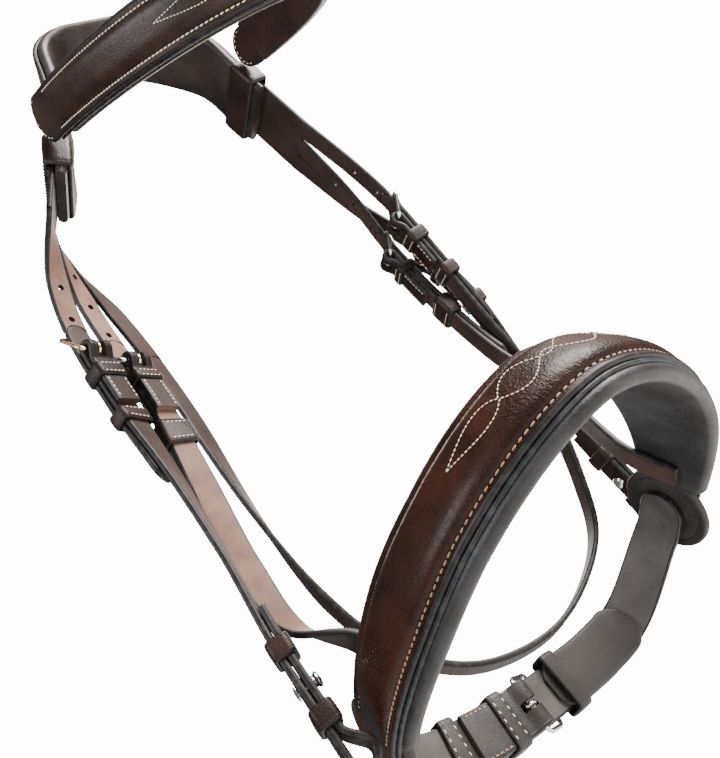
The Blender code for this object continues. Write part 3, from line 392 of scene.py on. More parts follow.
noseband = {"width": 0.035, "endWidth": 0.023, "fullShare": 0.45, "halfSpan": 0.090, "depth": 0.123,
            "power": 1.72, "tilt": math.radians(-15.6), "yaw": math.radians(-3.2), "back": 0.063,
            "aside": -0.003, "flare": -0.31, "flareRun": 0.090, "leather": 0.0028, "rowInset": 0.0035,
            "raise": 0.0042, "raiseInset": 0.020, "raiseRun": 0.030, "upperInset": 0.0020,
            "sink": 0.00012, "puff": 0.0003, "fall": 0.0007, "endRound": 0.004,
            "backEdge": (0.985, 0.96, 0.0003), "lining": 0.0065, "liningMargin": 0.0035,
            "liningEase": 0.006, "rollOut": 0.0009, "pipe": 0.0010, "pipeOut": 0.0004,
            "pipeHeight": -0.0001, "pipeInset": 0.006, "endReach": 0.014, "padPlace": 0.003,
            "padRadius": 0.0215, "padThickness": 0.004, "padClear": 0.0008, "hangerPlace": 0.036,
            "rowStart": 0.026, "rowOut": 0.0004, "rowPitch": 0.0027, "fancyAside": -0.002,
            "fancyHalf": 0.046, "fancyWidth": 0.0063}


def noseLine():
    n = noseband
    side = Vector((math.cos(n["yaw"]), math.sin(n["yaw"]), 0))
    level = Vector((-math.sin(n["yaw"]), math.cos(n["yaw"]), 0))
    back = level * math.cos(n["tilt"]) + Vector((0, 0, math.sin(n["tilt"])))
    up = side.cross(back)
    middle = Vector((n["aside"], n["back"], -stock["noseDrop"]))
    flat = archRow(n["halfSpan"], n["depth"], n["power"], 18)
    flat = [(-n["halfSpan"], -n["endReach"])] + flat + [(n["halfSpan"], -n["endReach"])]
    points = [middle + side * x - back * y for x, y in flat]
    widths = []
    for i in range(len(points)):
        run = (points[min(i + 1, len(points) - 1)] - points[max(i - 1, 0)]).normalized()
        widths.append(up + run.cross(up) * n["flare"] * min(1, max(0, flat[i][1]) / n["flareRun"]))
    return Route(points, widths, 1, 8)


def noseWidthAt(s):
    away = abs(s - nose.total / 2) / (nose.total / 2)
    share = ease((away - noseband["fullShare"]) / (1 - noseband["fullShare"]))
    return noseband["width"] + (noseband["endWidth"] - noseband["width"]) * share


crown = crownLine()
nose = noseLine()
crownTop = crownMiddle(crown)
loopPlaces = {"left": crown.heightPlace(headpiece["loopHeights"]["left"]),
              "right": crown.heightPlace(headpiece["loopHeights"]["right"], True)}


def tailStart(side, index):
    here, run, width, normal = crown.along(0 if side == "left" else crown.total)
    return here + width * (index - 1) * (headpiece["width"] + headpiece["slit"]) / 3, width


sideRows = {
    ("cheek", "left"): (
        ((-0.98, 0.34, -0.372), (-1.03, 0.45, -0.450), (-1.04, 0.51, -0.560), (-1.05, 0.49, -0.680),
         (-1.08, 0.47, -0.800), (-1.12, 0.46, -0.900), (-1.13, 0.46, -1.010)),
        ((0.78, 0.62, 0), (0.80, 0.60, 0), (0.78, 0.62, 0), (0.50, 0.87, 0),
         (0.25, 0.97, 0), (0.20, 0.98, 0), (0.10, 1.0, 0))),
    ("hanger", "left"): (
        ((-0.88, 0.485, -0.378), (-0.87, 0.60, -0.468), (-0.88, 0.62, -0.580), (-0.92, 0.64, -0.680),
         (-0.97, 0.66, -0.790), (-0.985, 0.60, -0.880)),
        ((0.77, 0.64, 0), (0.80, 0.60, 0), (0.84, 0.54, 0), (0.97, 0.24, 0), (0.99, -0.05, 0),
         (0.80, 0.60, 0))),
    ("cheek", "right"): (
        ((0.89, 0.27, -0.372), (0.97, 0.385, -0.450), (1.01, 0.54, -0.560), (1.03, 0.69, -0.680),
         (1.04, 0.81, -0.800), (1.04, 0.89, -0.900), (1.04, 0.96, -1.010)),
        ((0.15, 0.99, 0), (0.15, 0.99, 0), (0.15, 0.99, 0), (0.15, 0.99, 0),
         (0.10, 0.99, 0), (0.05, 1.0, 0), (0.0, 1.0, 0))),
    ("hanger", "right"): (
        ((0.87, 0.465, -0.378), (0.91, 0.625, -0.468), (0.925, 0.715, -0.580), (0.94, 0.74, -0.700),
         (0.94, 0.67, -0.810)),
        ((0.15, 0.99, 0), (0.15, 0.99, 0), (0.15, 0.99, 0), (0.10, 0.99, 0), (0.05, 1.0, 0))),
}
throatRows = ((0.92, 0.55, -0.390), (1.10, 0.665, -0.476), (1.16, 0.74, -0.590), (1.14, 0.88, -0.700),
              (1.10, 1.03, -0.810), (0.99, 1.15, -0.895), (0.80, 1.21, -0.965), (0.45, 1.23, -1.008),
              (0.10, 1.21, -1.018), (-0.28, 1.16, -0.993), (-0.56, 1.08, -0.930), (-0.70, 1.00, -0.840),
              (-0.745, 0.91, -0.725), (-0.735, 0.83, -0.605), (-0.700, 0.77, -0.490), (-0.76, 0.59, -0.390))
throatTurns = ((0.12, 0.99, 0),) * 4 + ((0.0, 1.0, 0),) * 8 + (
    (0.35, 0.94, 0), (0.70, 0.71, 0), (0.75, 0.66, 0), (0.75, 0.66, 0))
chinRows = ((0.67, 0.83, -0.91), (0.38, 0.96, -1.05), (0.0, 0.83, -1.0), (-0.39, 0.68, -0.88),
            (-0.74, 0.50, -0.62))


def sideLine(part, side):
    index = 0 if part == "cheek" else 1
    start, width = tailStart(side, index)
    rows, turns = sideRows[(part, side)]
    points = [start] + scaled(rows, hang)
    widths = [width] + [Vector(t) for t in turns]
    if part == "hanger":
        away = noseband["hangerPlace"]
        here, run, up, normal = nose.along(away if side == "left" else nose.total - away)
        gap = 2 * stock["softGap"] - stock["layerGap"]
        inside = here - normal * (gap + noseband["lining"])
        half = noseWidthAt(away) / 2
        points += [inside + up * half * 1.7, inside - up * half * 0.4]
        widths += [-run if side == "left" else run] * 2
    return Route(points, widths, -1 if side == "left" else 1)


def throatLine():
    start, width = tailStart("right", 2)
    end, other = tailStart("left", 2)
    return Route([start] + scaled(throatRows, hang) + [end],
                 [width] + [Vector(t) for t in throatTurns] + [other], 1)


def padFrame(side):
    near, far = noseband["padPlace"], noseband["padPlace"] + noseband["padRadius"]
    if side == "right":
        near, far = nose.total - near, nose.total - far
    here, run, width, normal = nose.along(near)
    run = (nose.along(far)[0] - here).normalized() * (1 if side == "left" else -1)
    width = (width - run * width.dot(run)).normalized()
    return here, run, width, run.cross(width)


chin = {"width": 0.022, "padMargin": 0.0015, "padHeight": 0.004, "padStart": 0.060, "padToBuckle": 0.0175,
        "padTop": -0.0005, "padRound": 0.011, "padEase": 0.014, "padTip": 0.0035, "buckleBack": 0.090,
        "tipReach": 0.048, "loopInset": 0.008, "loopFit": 0.0005, "reach": 0.052, "drop": 0.022,
        "holes": (-2, -1, 1), "fixed": (0.0150, 0.0085), "runner": (0.0430, 0.0085),
        "sewn": (0.0205, 0.0345), "rowInset": 0.0019, "rowEnd": 0.020}


def chinLine():
    inside = 2 * stock["softGap"] + noseband["padThickness"]
    ends = {}
    for side, depth in (("right", inside + stock["thickness"]), ("left", inside - stock["layerGap"])):
        here, run, width, normal = padFrame(side)
        way = -run if side == "left" else run
        start = here - normal * depth
        ends[side] = (start, start + way * 0.012, start + way * 0.022 - normal * 0.003, width)
    middle = (ends["right"][0] + ends["left"][0]) / 2
    points = list(ends["right"][:3])
    points += [middle + p for p in scaled(chinRows, (noseband["halfSpan"], chin["reach"], chin["drop"]))]
    points += list(reversed(ends["left"][:3]))
    widths = [ends["right"][3]] * 3 + [Vector((0, 0, 1))] * len(chinRows) + [ends["left"][3]] * 3
    return Route(points, widths, 1, 10)


lines = {(part, side): sideLine(part, side) for part in ("cheek", "hanger") for side in ("left", "right")}
throat = throatLine()
lines[("throat", "right")] = lines[("throat", "left")] = throat
chinRoute = chinLine()
tailShares = {"cheek": 0.428, "hanger": 0.440, "throat": 0.458}


def tailEnd(part, side):
    return lines[(part, side)].heightPlace(-stock["noseDrop"] * tailShares[part],
                                           part == "throat" and side == "left")


print("lines laid out: crown %.0f mm, noseband %.0f mm" % (crown.total * 1000, nose.total * 1000))


# mesh helpers
def edit(obj):
    bpy.ops.object.select_all(action="DESELECT")
    bpy.context.view_layer.objects.active = obj
    obj.select_set(True)
    bpy.ops.object.mode_set(mode="EDIT")
    bpy.ops.mesh.select_mode(type="VERT")
    bpy.ops.mesh.select_all(action="SELECT")


def leave():
    bpy.ops.object.mode_set(mode="OBJECT")


def turnOutward(obj):
    edit(obj)
    bpy.ops.mesh.normals_make_consistent(inside=False)
    leave()


def dress(piece, body, slot, *nodes):
    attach(piece, body)
    if nodes:
        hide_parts(*nodes)
    return piece


def skin(name, rings, slots, edges=None, closed=False, pick=None, smooth=40):
    # a grid is added and each of its rows is laid on one ring, then the seam and ends are closed
    rows, columns = len(rings), len(rings[0])
    if closed:
        rings = rings + [rings[0]]
        rows += 1
    bpy.ops.object.select_all(action="DESELECT")
    bpy.ops.mesh.primitive_grid_add(x_subdivisions=columns, y_subdivisions=rows - 1, size=0.1)
    made = bpy.context.active_object
    made.name = name
    made.data.name = name
    mesh = made.data
    flat = []
    for ring in rings:
        for k in range(columns + 1):
            flat.extend(ring[k % columns])
    mesh.vertices.foreach_set("co", flat)
    if edges:
        layer = mesh.uv_layers.active.data
        for polygon in mesh.polygons:
            for loop in polygon.loop_indices:
                row, column = divmod(mesh.loops[loop].vertex_index, columns + 1)
                layer[loop].uv = edges(row % len(rings), column % columns)
    for key in slots:
        mesh.materials.append(finishes[key])
    if pick:
        for index, polygon in enumerate(mesh.polygons):
            polygon.material_index = pick(*divmod(index, columns))
    edit(made)
    bpy.ops.mesh.remove_doubles(threshold=0.0000005)
    if not closed:
        bpy.ops.mesh.select_all(action="DESELECT")
        bpy.ops.mesh.select_non_manifold(extend=False, use_boundary=True, use_wire=False,
                                         use_multi_face=False, use_non_contiguous=False, use_verts=False)
        bpy.ops.mesh.fill_holes(sides=0)
    bpy.ops.mesh.select_all(action="SELECT")
    bpy.ops.mesh.normals_make_consistent(inside=False)
    leave()
    bpy.ops.object.shade_smooth_by_angle(angle=math.radians(smooth))
    return made


def strapProfile(width, low, high, rounding, across):
    # a flat strap's cross-section with rounded edges: under face, edge, outer face, edge
    half = width / 2
    r = min(rounding, half * 0.9, (high - low) / 2 * 0.98)
    flat = [(half - r) * (2 * k / across - 1) for k in range(across + 1)]
    turns = [math.pi / 8 * k for k in (1, 2, 3)]
    points = [(-u, low) for u in flat]
    points += [(-half + r - r * math.sin(a), low + r - r * math.cos(a)) for a in turns]
    points.append((-half, (low + high) / 2))
    points += [(-half + r - r * math.sin(a), high - r + r * math.cos(a)) for a in reversed(turns)]
    points += [(u, high) for u in flat]
    points += [(half - r + r * math.sin(a), high - r + r * math.cos(a)) for a in turns]
    points.append((half, (low + high) / 2))
    points += [(half - r + r * math.sin(a), low + r - r * math.cos(a)) for a in reversed(turns)]
    return points


tipShares = (0.004, 0.02, 0.05, 0.10, 0.17, 0.26, 0.38, 0.52, 0.68, 0.85)
narrowest = 0.0005  # a round tip ends in an edge this wide


def tipWidth(width, at, s):
    # width of a strap beside its round tip
    reach = width / 2
    away = abs(s - at)
    if away >= reach:
        return width
    share = 1 - away / reach
    return width * math.sqrt(max(0.0, 1 - share * share))


def tipStops(start, end, pitch, reach):
    # places along a strap, closer together on its round tips
    made = [start + reach * q for q in tipShares]
    made += stops(start + reach, end - reach, pitch)
    return made + [end - reach * q for q in reversed(tipShares)]


def laidStrap(name, stations, slots, rounding=0.0010, across=4):
    # stations: middle of the leather, width direction, normal and width, then a number along
    t = stock["thickness"]
    rings, widths, alongs = [], [], []
    for here, widthWay, normal, width, s in stations:
        profile = strapProfile(width, -t / 2, t / 2, rounding, across)
        rings.append([here + widthWay * u + normal * v for u, v in profile])
        widths.append([max(0.0, width / 2 - abs(u)) for u, v in profile])
        alongs.append(s)
    outer = across + 8  # the outer face's first column

    def edges(row, column):
        return widths[row][column], alongs[row]

    def pick(row, column):
        if column < across:
            return 1
        return 0 if outer <= column <= outer + across else 2

    return skin(name, rings, slots, edges, pick=pick, smooth=60)


def flatStations(route, places, widthAt, v):
    made = []
    for s in places:
        here, run, width, normal = route.along(s)
        made.append((here + normal * v, width, normal, widthAt(s), s))
    return made


def foldedStations(route, path, widths):
    middles, turned = [], []
    for s, v in path:
        here, run, across, normal = route.along(s)
        middles.append(here + normal * v)
        turned.append(across)
    made = []
    for i, here in enumerate(middles):
        before, after = middles[max(0, i - 1)], middles[min(len(middles) - 1, i + 1)]
        run = (after - before).normalized()
        width = (turned[i] - run * turned[i].dot(run)).normalized()
        made.append((here, width, run.cross(width) * route.outward, widths[i], path[i][0]))
    return made


def tube(name, points, radius, sides, slot, closed=False):
    points = [Vector(p) for p in points]
    count = len(points)
    rings, guide = [], None
    for i, here in enumerate(points):
        before = points[(i - 1) % count] if closed or i else here
        after = points[(i + 1) % count] if closed or i < count - 1 else here
        run = (after - before).normalized()
        guide = guide or run.orthogonal().normalized()
        guide = (guide - run * guide.dot(run)).normalized()
        other = run.cross(guide)
        r = radius[i] if isinstance(radius, list) else radius
        rings.append([here + guide * r * math.cos(2 * math.pi * k / sides)
                      + other * r * math.sin(2 * math.pi * k / sides) for k in range(sides)])
    return skin(name, rings, [slot], closed=closed, smooth=70)


# one stitch, modelled once: a short fat grain of waxed thread
stitch = {"shape": (1.0, 0.36, 0.30), "segments": 8, "rings": 5, "wobble": 0.06, "lift": 0.0001,
          "raised": 0.0002, "pitch": 0.0026, "foldInset": 0.0017}
# the stitch length, thread and slant of each kind of row
threads = {"noseband": (0.00225, "tan", 0.10), "nosebandFancy": (0.00132, "cream", 0.0),
           "roundPad": (0.0021, "edge", 0.0), "browband": (0.0020, "cream", 0.10),
           "browbandFancy": (0.00130, "cream", 0.0), "browbandLoop": (0.0019, "cream", 0.0),
           "crown": (0.0021, "tan", 0.10), "keeper": (0.0018, "cream", 0.15),
           "fold": (0.0020, "cream", 0.08), "chin": (0.0020, "tan", 0.08)}
bpy.ops.object.select_all(action="DESELECT")
bpy.ops.mesh.primitive_uv_sphere_add(segments=stitch["segments"], ring_count=stitch["rings"], radius=0.5)
grain = bpy.context.active_object
edit(grain)
bpy.ops.transform.resize(value=stitch["shape"], center_override=(0, 0, 0))
leave()
stitchPoints = [v.co.copy() for v in grain.data.vertices]
stitchFaces = [tuple(p.vertices) for p in grain.data.polygons]
bpy.data.objects.remove(grain)


def sew(name, spots, kind, body, slot="dark_leather"):
    # spots: place, run and normal of each stitch
    length, colour, slant = threads[kind]
    verts, faces = [], []
    for here, run, normal in spots:
        side = normal.cross(run).normalized()
        lean = (run * math.cos(slant) + side * math.sin(slant)).normalized()
        side = normal.cross(lean).normalized()
        base = len(verts)
        wobble = 1 + random.uniform(-stitch["wobble"], stitch["wobble"])
        for p in stitchPoints:
            verts.append(here + (lean * p.x * wobble + side * p.y + normal * p.z) * length)
        faces += [tuple(base + k for k in face) for face in stitchFaces]
    mesh = bpy.data.meshes.new(name)
    mesh.from_pydata(verts, [], faces)
    mesh.materials.append(finishes[colour])
    made = bpy.data.objects.new(name, mesh)
    bpy.context.scene.collection.objects.link(made)
    bpy.ops.object.select_all(action="DESELECT")
    bpy.context.view_layer.objects.active = made
    made.select_set(True)
    bpy.ops.object.shade_smooth()
    dress(made, body, slot)


def stitchLine(route, start, end, pitch, u, v):
    # the spots of a stitched row at one distance across, on a surface at height v
    spots = []
    count = max(1, round(abs(end - start) / pitch))
    for k in range(count):
        s = start + (end - start) * (k + 0.5) / count
        across = u(s) if callable(u) else u
        height = v(s, across) if callable(v) else v
        here, run, width, normal = route.along(s)
        spots.append((here + width * across + normal * height, run, normal))
    return spots


def join(name, pieces):
    bpy.ops.object.select_all(action="DESELECT")
    for piece in pieces:
        piece.select_set(True)
    bpy.context.view_layer.objects.active = pieces[0]
    bpy.ops.object.join()
    pieces[0].name = name
    pieces[0].data.name = name
    return pieces[0]


punch = {"low": -0.004, "high": 0.007, "sides": 20, "long": 0.0068, "billet": 0.0037, "tail": 0.0034,
         "pitch": 0.019, "slotWidth": 0.0042, "slotOver": 0.0010}


def carve(target, cutter):
    # takes the cutter out of a strap, and paints the walls of the cut
    turnOutward(cutter)
    cutter.data.materials.append(finishes["edge"])
    bpy.context.view_layer.objects.active = target
    modifier = target.modifiers.new("cut", "BOOLEAN")
    modifier.operation = "DIFFERENCE"
    modifier.solver = "EXACT"
    modifier.material_mode = "TRANSFER"
    modifier.object = cutter
    bpy.ops.object.modifier_apply(modifier=modifier.name)
    bpy.data.objects.remove(cutter)


def cutHoles(target, route, spots, width):
    # punched holes; a long one lets the tongue through
    for s, long in spots:
        here, run, across, normal = route.along(s)
        bpy.ops.object.select_all(action="DESELECT")
        bpy.ops.mesh.primitive_cylinder_add(vertices=punch["sides"], radius=width / 2,
                                            depth=punch["high"] - punch["low"])
        cutter = bpy.context.active_object
        stretch = (punch["long"] - width) / 2 if long else 0.0
        middle = here + normal * (punch["low"] + punch["high"]) / 2
        for v in cutter.data.vertices:
            away = v.co.x + (stretch if v.co.x > 0 else -stretch)
            v.co = middle + run * away + across * v.co.y + normal * v.co.z
        carve(target, cutter)


# camera, light and floor
view = {"place": (-0.1639, -0.2158, -0.4565), "right": (0.7864, -0.0823, -0.6122),
        "down": (-0.4146, 0.6644, -0.6219), "forward": (0.458, 0.7429, 0.4883),
        "focal": 709.4, "height": 758}


def makeView():
    data = bpy.data.cameras.new("photoCamera")
    camera = bpy.data.objects.new("photoCamera", data)
    bpy.context.scene.collection.objects.link(camera)
    data.sensor_fit = "VERTICAL"
    data.sensor_height = 24.0
    data.lens = view["focal"] * data.sensor_height / view["height"]
    data.clip_start = 0.01
    right, down, forward = (Vector(view[k]) for k in ("right", "down", "forward"))
    turn = Matrix((right, -down, -forward)).transposed().to_4x4()
    camera.matrix_world = Matrix.Translation(Vector(view["place"])) @ turn
    bpy.context.scene.camera = camera


# each light's place, size, power and colour; all look at the middle
studio = {"floor": -0.75, "floorSize": 2.8, "floorTones": ((0.80, 0.80, 0.79), (0.86, 0.86, 0.85)),
          "middle": (0, 0.03, -0.24), "roomColour": (0.97, 0.98, 1.0, 1.0), "roomShows": 14.0,
          "roomLights": 0.20,
          "lights": {"skyPanel": ((0.78, -0.80, 0.50), 1.1, 125.0, (1.0, 0.96, 0.92)),
                     "sidePanel": ((-0.95, -0.30, 0.10), 0.6, 12.0, (0.95, 0.97, 1.0)),
                     "backPanel": ((0.55, 0.95, 0.25), 0.8, 14.0, (1.0, 0.99, 0.97))}}


def softLight(name, place, size, power, colour):
    data = bpy.data.lights.new(name, "AREA")
    data.shape = "DISK"
    data.size = size
    data.energy = power
    data.color = colour
    light = bpy.data.objects.new(name, data)
    bpy.context.scene.collection.objects.link(light)
    light.location = place
    light.rotation_euler = (Vector(studio["middle"]) - Vector(place)).to_track_quat("-Z", "Y").to_euler()


def makeStudio():
    bpy.ops.object.select_all(action="DESELECT")
    bpy.ops.mesh.primitive_grid_add(x_subdivisions=12, y_subdivisions=12, size=studio["floorSize"],
                                    location=(0, 0, studio["floor"]))
    floor = bpy.context.active_object
    floor.name = "paleFloor"
    bpy.ops.object.transform_apply(location=True, rotation=True, scale=True)
    s = Shade("paleFloorPaint")
    tones = s.colourMix(s.noise(1.2, 3.0), *studio["floorTones"])
    floor.data.materials.append(s.set(colour=tones, roughness=0.75))
    world = bpy.data.worlds.new("paleRoom")
    bpy.context.scene.world = world
    world.use_nodes = True
    room = world.node_tree.nodes["Background"]
    room.inputs["Color"].default_value = studio["roomColour"]
    # the room is seen white, and lights the leather less than that
    path = world.node_tree.nodes.new("ShaderNodeLightPath")
    level = world.node_tree.nodes.new("ShaderNodeMapRange")
    level.inputs["To Min"].default_value = studio["roomLights"]
    level.inputs["To Max"].default_value = studio["roomShows"]
    world.node_tree.links.new(path.outputs["Is Camera Ray"], level.inputs["Value"])
    world.node_tree.links.new(level.outputs["Result"], room.inputs["Strength"])
    for name, sizes in studio["lights"].items():
        softLight(name, *sizes)


makeView()
makeStudio()
print("camera and studio ready")


# faces and linings, which the noseband and the browband share
def dome(t):
    return (1 - min(1.0, abs(t)) ** 4) ** 0.7


def marginHeight(u, row, half, sizes):
    # the low margin beside a raised face
    rim = min(1.0, (abs(u) - row) / (half - row))
    return sizes["puff"] * math.sin(rim * math.pi) - sizes["fall"] * rim ** 4


def backRing(here, width, normal, half, sizes):
    # the back of a face, from its upper edge to its lower one
    rim, flat, lift = sizes["backEdge"]
    ring = [here + width * half * rim + normal * lift, here + width * half * flat]
    ring += [here - width * half * u for u in (-0.5, 0.0, 0.5)]
    return ring + [here - width * half * flat, here - width * half * rim + normal * lift]


def liningRing(half, top, low):
    # the padded lining's section: flat against the strap, with a full round roll at both edges
    roll = (top - low) / 2
    turns = [math.pi * k / 8 for k in range(9)]
    lowFlat = top - 2 * roll
    points = [(half - roll + roll * math.sin(a), top - roll + roll * math.cos(a)) for a in turns]
    points += [((half - roll) * (1 - k / 4), low + (lowFlat - low) * abs(1 - k / 4) ** 4)
               for k in range(1, 8)]
    points += [(-half + roll - roll * math.sin(a), lowFlat + roll - roll * math.cos(a)) for a in turns]
    return points + [((half - roll) * (k / 4 - 1), top) for k in range(1, 8)]


def piping(name, route, halfAt, sizes, body):
    # the dark piping between the face and the roll
    for word, sign in (("Upper", 1), ("Lower", -1)):
        points = [route.at(s, sign * (halfAt(s) + sizes["pipeOut"]), sizes["pipeHeight"])
                  for s in stops(sizes["pipeInset"], route.total - sizes["pipeInset"],
                                  spacing["piping"])]
        dress(tube(name + word, points, sizes["pipe"], 10, "piping"), body, "dark_leather")


# the traditional stitched row: a small diamond between two full lenses and two pointed ones
lens = {"marks": (0.0, 0.061, 0.435, 1.0), "swells": (0.26, 1.0, 0.70), "pitch": 0.0016, "step": 0.0001,
        "lift": 0.00016}


def lensWidth(width, share):
    marks = lens["marks"]
    k = 0
    while share > marks[k + 1]:
        k += 1
    q = (share - marks[k]) / (marks[k + 1] - marks[k])
    if k == 0:
        return width * lens["swells"][k] * (1 - q)
    if k == 1:
        return width * lens["swells"][k] * math.sin(math.pi * q) ** 0.9
    return width * lens["swells"][k] * math.sin(math.pi * q ** 0.62) ** 1.1


def fancySpots(route, centre, half, width, top):
    spots = []
    for sign in (-1, 1):
        for side in (-1, 1):
            last, t = None, 0.0
            while t <= half:
                s, u = centre + sign * t, side * lensWidth(width, t / half)
                here = route.at(s, u, top(s, u) + lens["lift"])
                if last is None or (here - last[0]).length >= lens["pitch"]:
                    if last is not None:
                        normal = route.along(centre + sign * (t + last[1]) / 2)[3]
                        spots.append(((here + last[0]) / 2, (here - last[0]).normalized(), normal))
                    last = (here, t)
                t += lens["step"]
    return spots


# noseband
def noseTop(s, u):
    # height of the noseband's outer face
    half = noseWidthAt(s) / 2
    row = half - noseband["rowInset"] - (noseband["upperInset"] if u > 0 else 0)
    flat = noseband["leather"] - noseband["sink"]
    if abs(u) >= row:
        return flat + marginHeight(u, row, half, noseband)
    ends = min(s, nose.total - s)
    lift = noseband["raise"] * ease((ends - noseband["raiseInset"]) / noseband["raiseRun"])
    return flat + lift * dome(u / row)


def noseFace():
    places = stops(0.0, nose.total, spacing["face"])
    shares = [k / 30 for k in range(-30, 31)]
    rings, uvs = [], []
    for s in places:
        here, run, width, normal = nose.along(s)
        half = noseWidthAt(s) / 2
        ends = min(s, nose.total - s) / noseband["endRound"]
        if ends < 1:
            half *= 0.80 + 0.20 * math.sqrt(max(0.0, 1 - (1 - ends) ** 2))
        ring = [here + width * u * half + normal * noseTop(s, u * half) for u in shares]
        rings.append(ring + backRing(here, width, normal, half, noseband))
        uvs.append([half * (1 - abs(u)) for u in shares] + [0.0] * 7)

    def edges(row, column):
        return uvs[row][column], places[row]

    def pick(row, column):
        return 1 if column < 2 or column >= len(shares) - 3 else 0

    made = skin("nosebandFace", rings, ["face", "edge"], edges, pick=pick, smooth=60)
    dress(made, "noseband", "dark_leather", "noseband_face")


def noseLining():
    inset = noseband["padPlace"] + noseband["padRadius"] + noseband["padClear"]
    rings = []
    for s in stops(inset, nose.total - inset, spacing["strap"]):
        here, run, width, normal = nose.along(s)
        full = math.sqrt(min(1.0, 0.25 + (min(s, nose.total - s) - inset) / noseband["liningEase"]))
        half = noseWidthAt(s) / 2 + noseband["liningMargin"] * full + noseband["rollOut"]
        top = -stock["softGap"]
        low = top - noseband["lining"] * (0.55 + 0.45 * full)
        rings.append([here + width * u + normal * v for u, v in liningRing(half, top, low)])
    made = skin("nosebandLining", rings, ["lining"], smooth=70)
    dress(made, "noseband", "lining", "noseband_lining")
    piping("nosebandPiping", nose, lambda s: noseWidthAt(s) / 2, noseband, "noseband")


def noseRow(s, sign):
    inset = noseband["rowInset"] + (noseband["upperInset"] if sign > 0 else 0)
    return sign * (noseWidthAt(s) / 2 - inset + noseband["rowOut"])


def noseStitching():
    start = noseband["rowStart"]
    rows = []
    for sign in (1, -1):
        rows += stitchLine(nose, start, nose.total - start, noseband["rowPitch"],
                           lambda s, sign=sign: noseRow(s, sign),
                           lambda s, u: noseTop(s, u) + stitch["raised"])
    sew("nosebandRows", rows, "noseband", "noseband")
    fancy = fancySpots(nose, nose.total / 2 + noseband["fancyAside"], noseband["fancyHalf"],
                       noseband["fancyWidth"], noseTop)
    sew("nosebandFancyStitching", fancy, "nosebandFancy", "noseband")


# width and depth of each step inward on the round pad's two faces, which carry a pressed groove
pad = {"sides": 72, "rim": 0.0013, "rimSteps": 5, "stitches": 46, "stitchInset": 0.0037,
       "insets": ((0.0011, 0.0), (0.0022, 0.0), (0.0006, -0.00022), (0.0006, 0.00022), (0.0040, 0.0),
                  (0.0060, 0.0))}


def roundPad(side):
    here, run, width, normal = padFrame(side)
    r, t = noseband["padRadius"], noseband["padThickness"]
    middle = here - normal * (stock["softGap"] + t / 2)
    bpy.ops.object.select_all(action="DESELECT")
    bpy.ops.mesh.primitive_cylinder_add(vertices=pad["sides"], radius=r, depth=t, end_fill_type="NGON")
    made = bpy.context.active_object
    made.name = "roundPad" + side.title()
    edit(made)
    bpy.ops.mesh.select_mode(type="FACE")
    bpy.ops.mesh.select_all(action="DESELECT")
    leave()
    for polygon in made.data.polygons:
        polygon.select = abs(polygon.normal.z) > 0.9
    bpy.ops.object.mode_set(mode="EDIT")
    for thickness, depth in pad["insets"]:
        bpy.ops.mesh.inset(thickness=thickness, depth=depth)
    leave()
    bevel = made.modifiers.new("rim", "BEVEL")
    bevel.width = pad["rim"]
    bevel.segments = pad["rimSteps"]
    bevel.limit_method = "ANGLE"
    bevel.angle_limit = math.radians(50)
    bpy.ops.object.modifier_apply(modifier=bevel.name)
    turn = Matrix((run, normal.cross(run), normal)).transposed()
    for v in made.data.vertices:
        v.co = middle + turn @ v.co
    made.data.materials.append(finishes["pad"])
    turnOutward(made)
    bpy.ops.object.shade_smooth_by_angle(angle=math.radians(40))
    dress(made, "noseband", "lining", "round_pad_" + side)
    spots = []
    for k in range(pad["stitches"]):
        a = 2 * math.pi * k / pad["stitches"]
        out = (run * math.cos(a) + width * math.sin(a)) * (r - pad["stitchInset"])
        tangent = width * math.cos(a) - run * math.sin(a)
        for face in (1, -1):
            spots.append((middle + out + normal * face * (t / 2 - stitch["lift"]), tangent, normal * face))
    sew("roundPadStitching" + side.title(), spots, "roundPad", "noseband", "lining")


noseFace()
noseLining()
noseStitching()
for side in ("left", "right"):
    roundPad(side)
print("noseband made")


# browband
browband = {"width": 0.024, "halfSpan": 0.067, "depth": 0.144, "droop": math.radians(50), "power": 1.95,
            "raiseWidth": 0.015, "raise": 0.0028, "raiseRun": 0.008, "raiseOut": 0.0012, "inner": 0.030,
            "puff": 0.00018, "fall": 0.0006, "sink": 0.00010, "backEdge": (0.98, 0.94, 0.0004),
            "lining": 0.004, "liningMargin": 0.0012, "liningEase": 0.005, "liningOver": 0.002,
            "rollOut": 0.0008, "pipe": 0.0009, "pipeOut": 0.0002, "pipeHeight": 0.0, "pipeInset": 0.016,
            "rowStart": 0.027, "rowOut": 0.0017, "rowPitch": 0.0024, "loopRow": 0.38, "endRow": 0.0022,
            "endLift": 0.00012, "fancyHalf": 0.062, "fancyWidth": 0.0043, "loopWall": 0.0022,
            "loopLength": 0.020,
            "endGaps": {"left": 0.0040, "right": 0.0026}, "hingeDrop": 0.004, "fit": 0.0005}


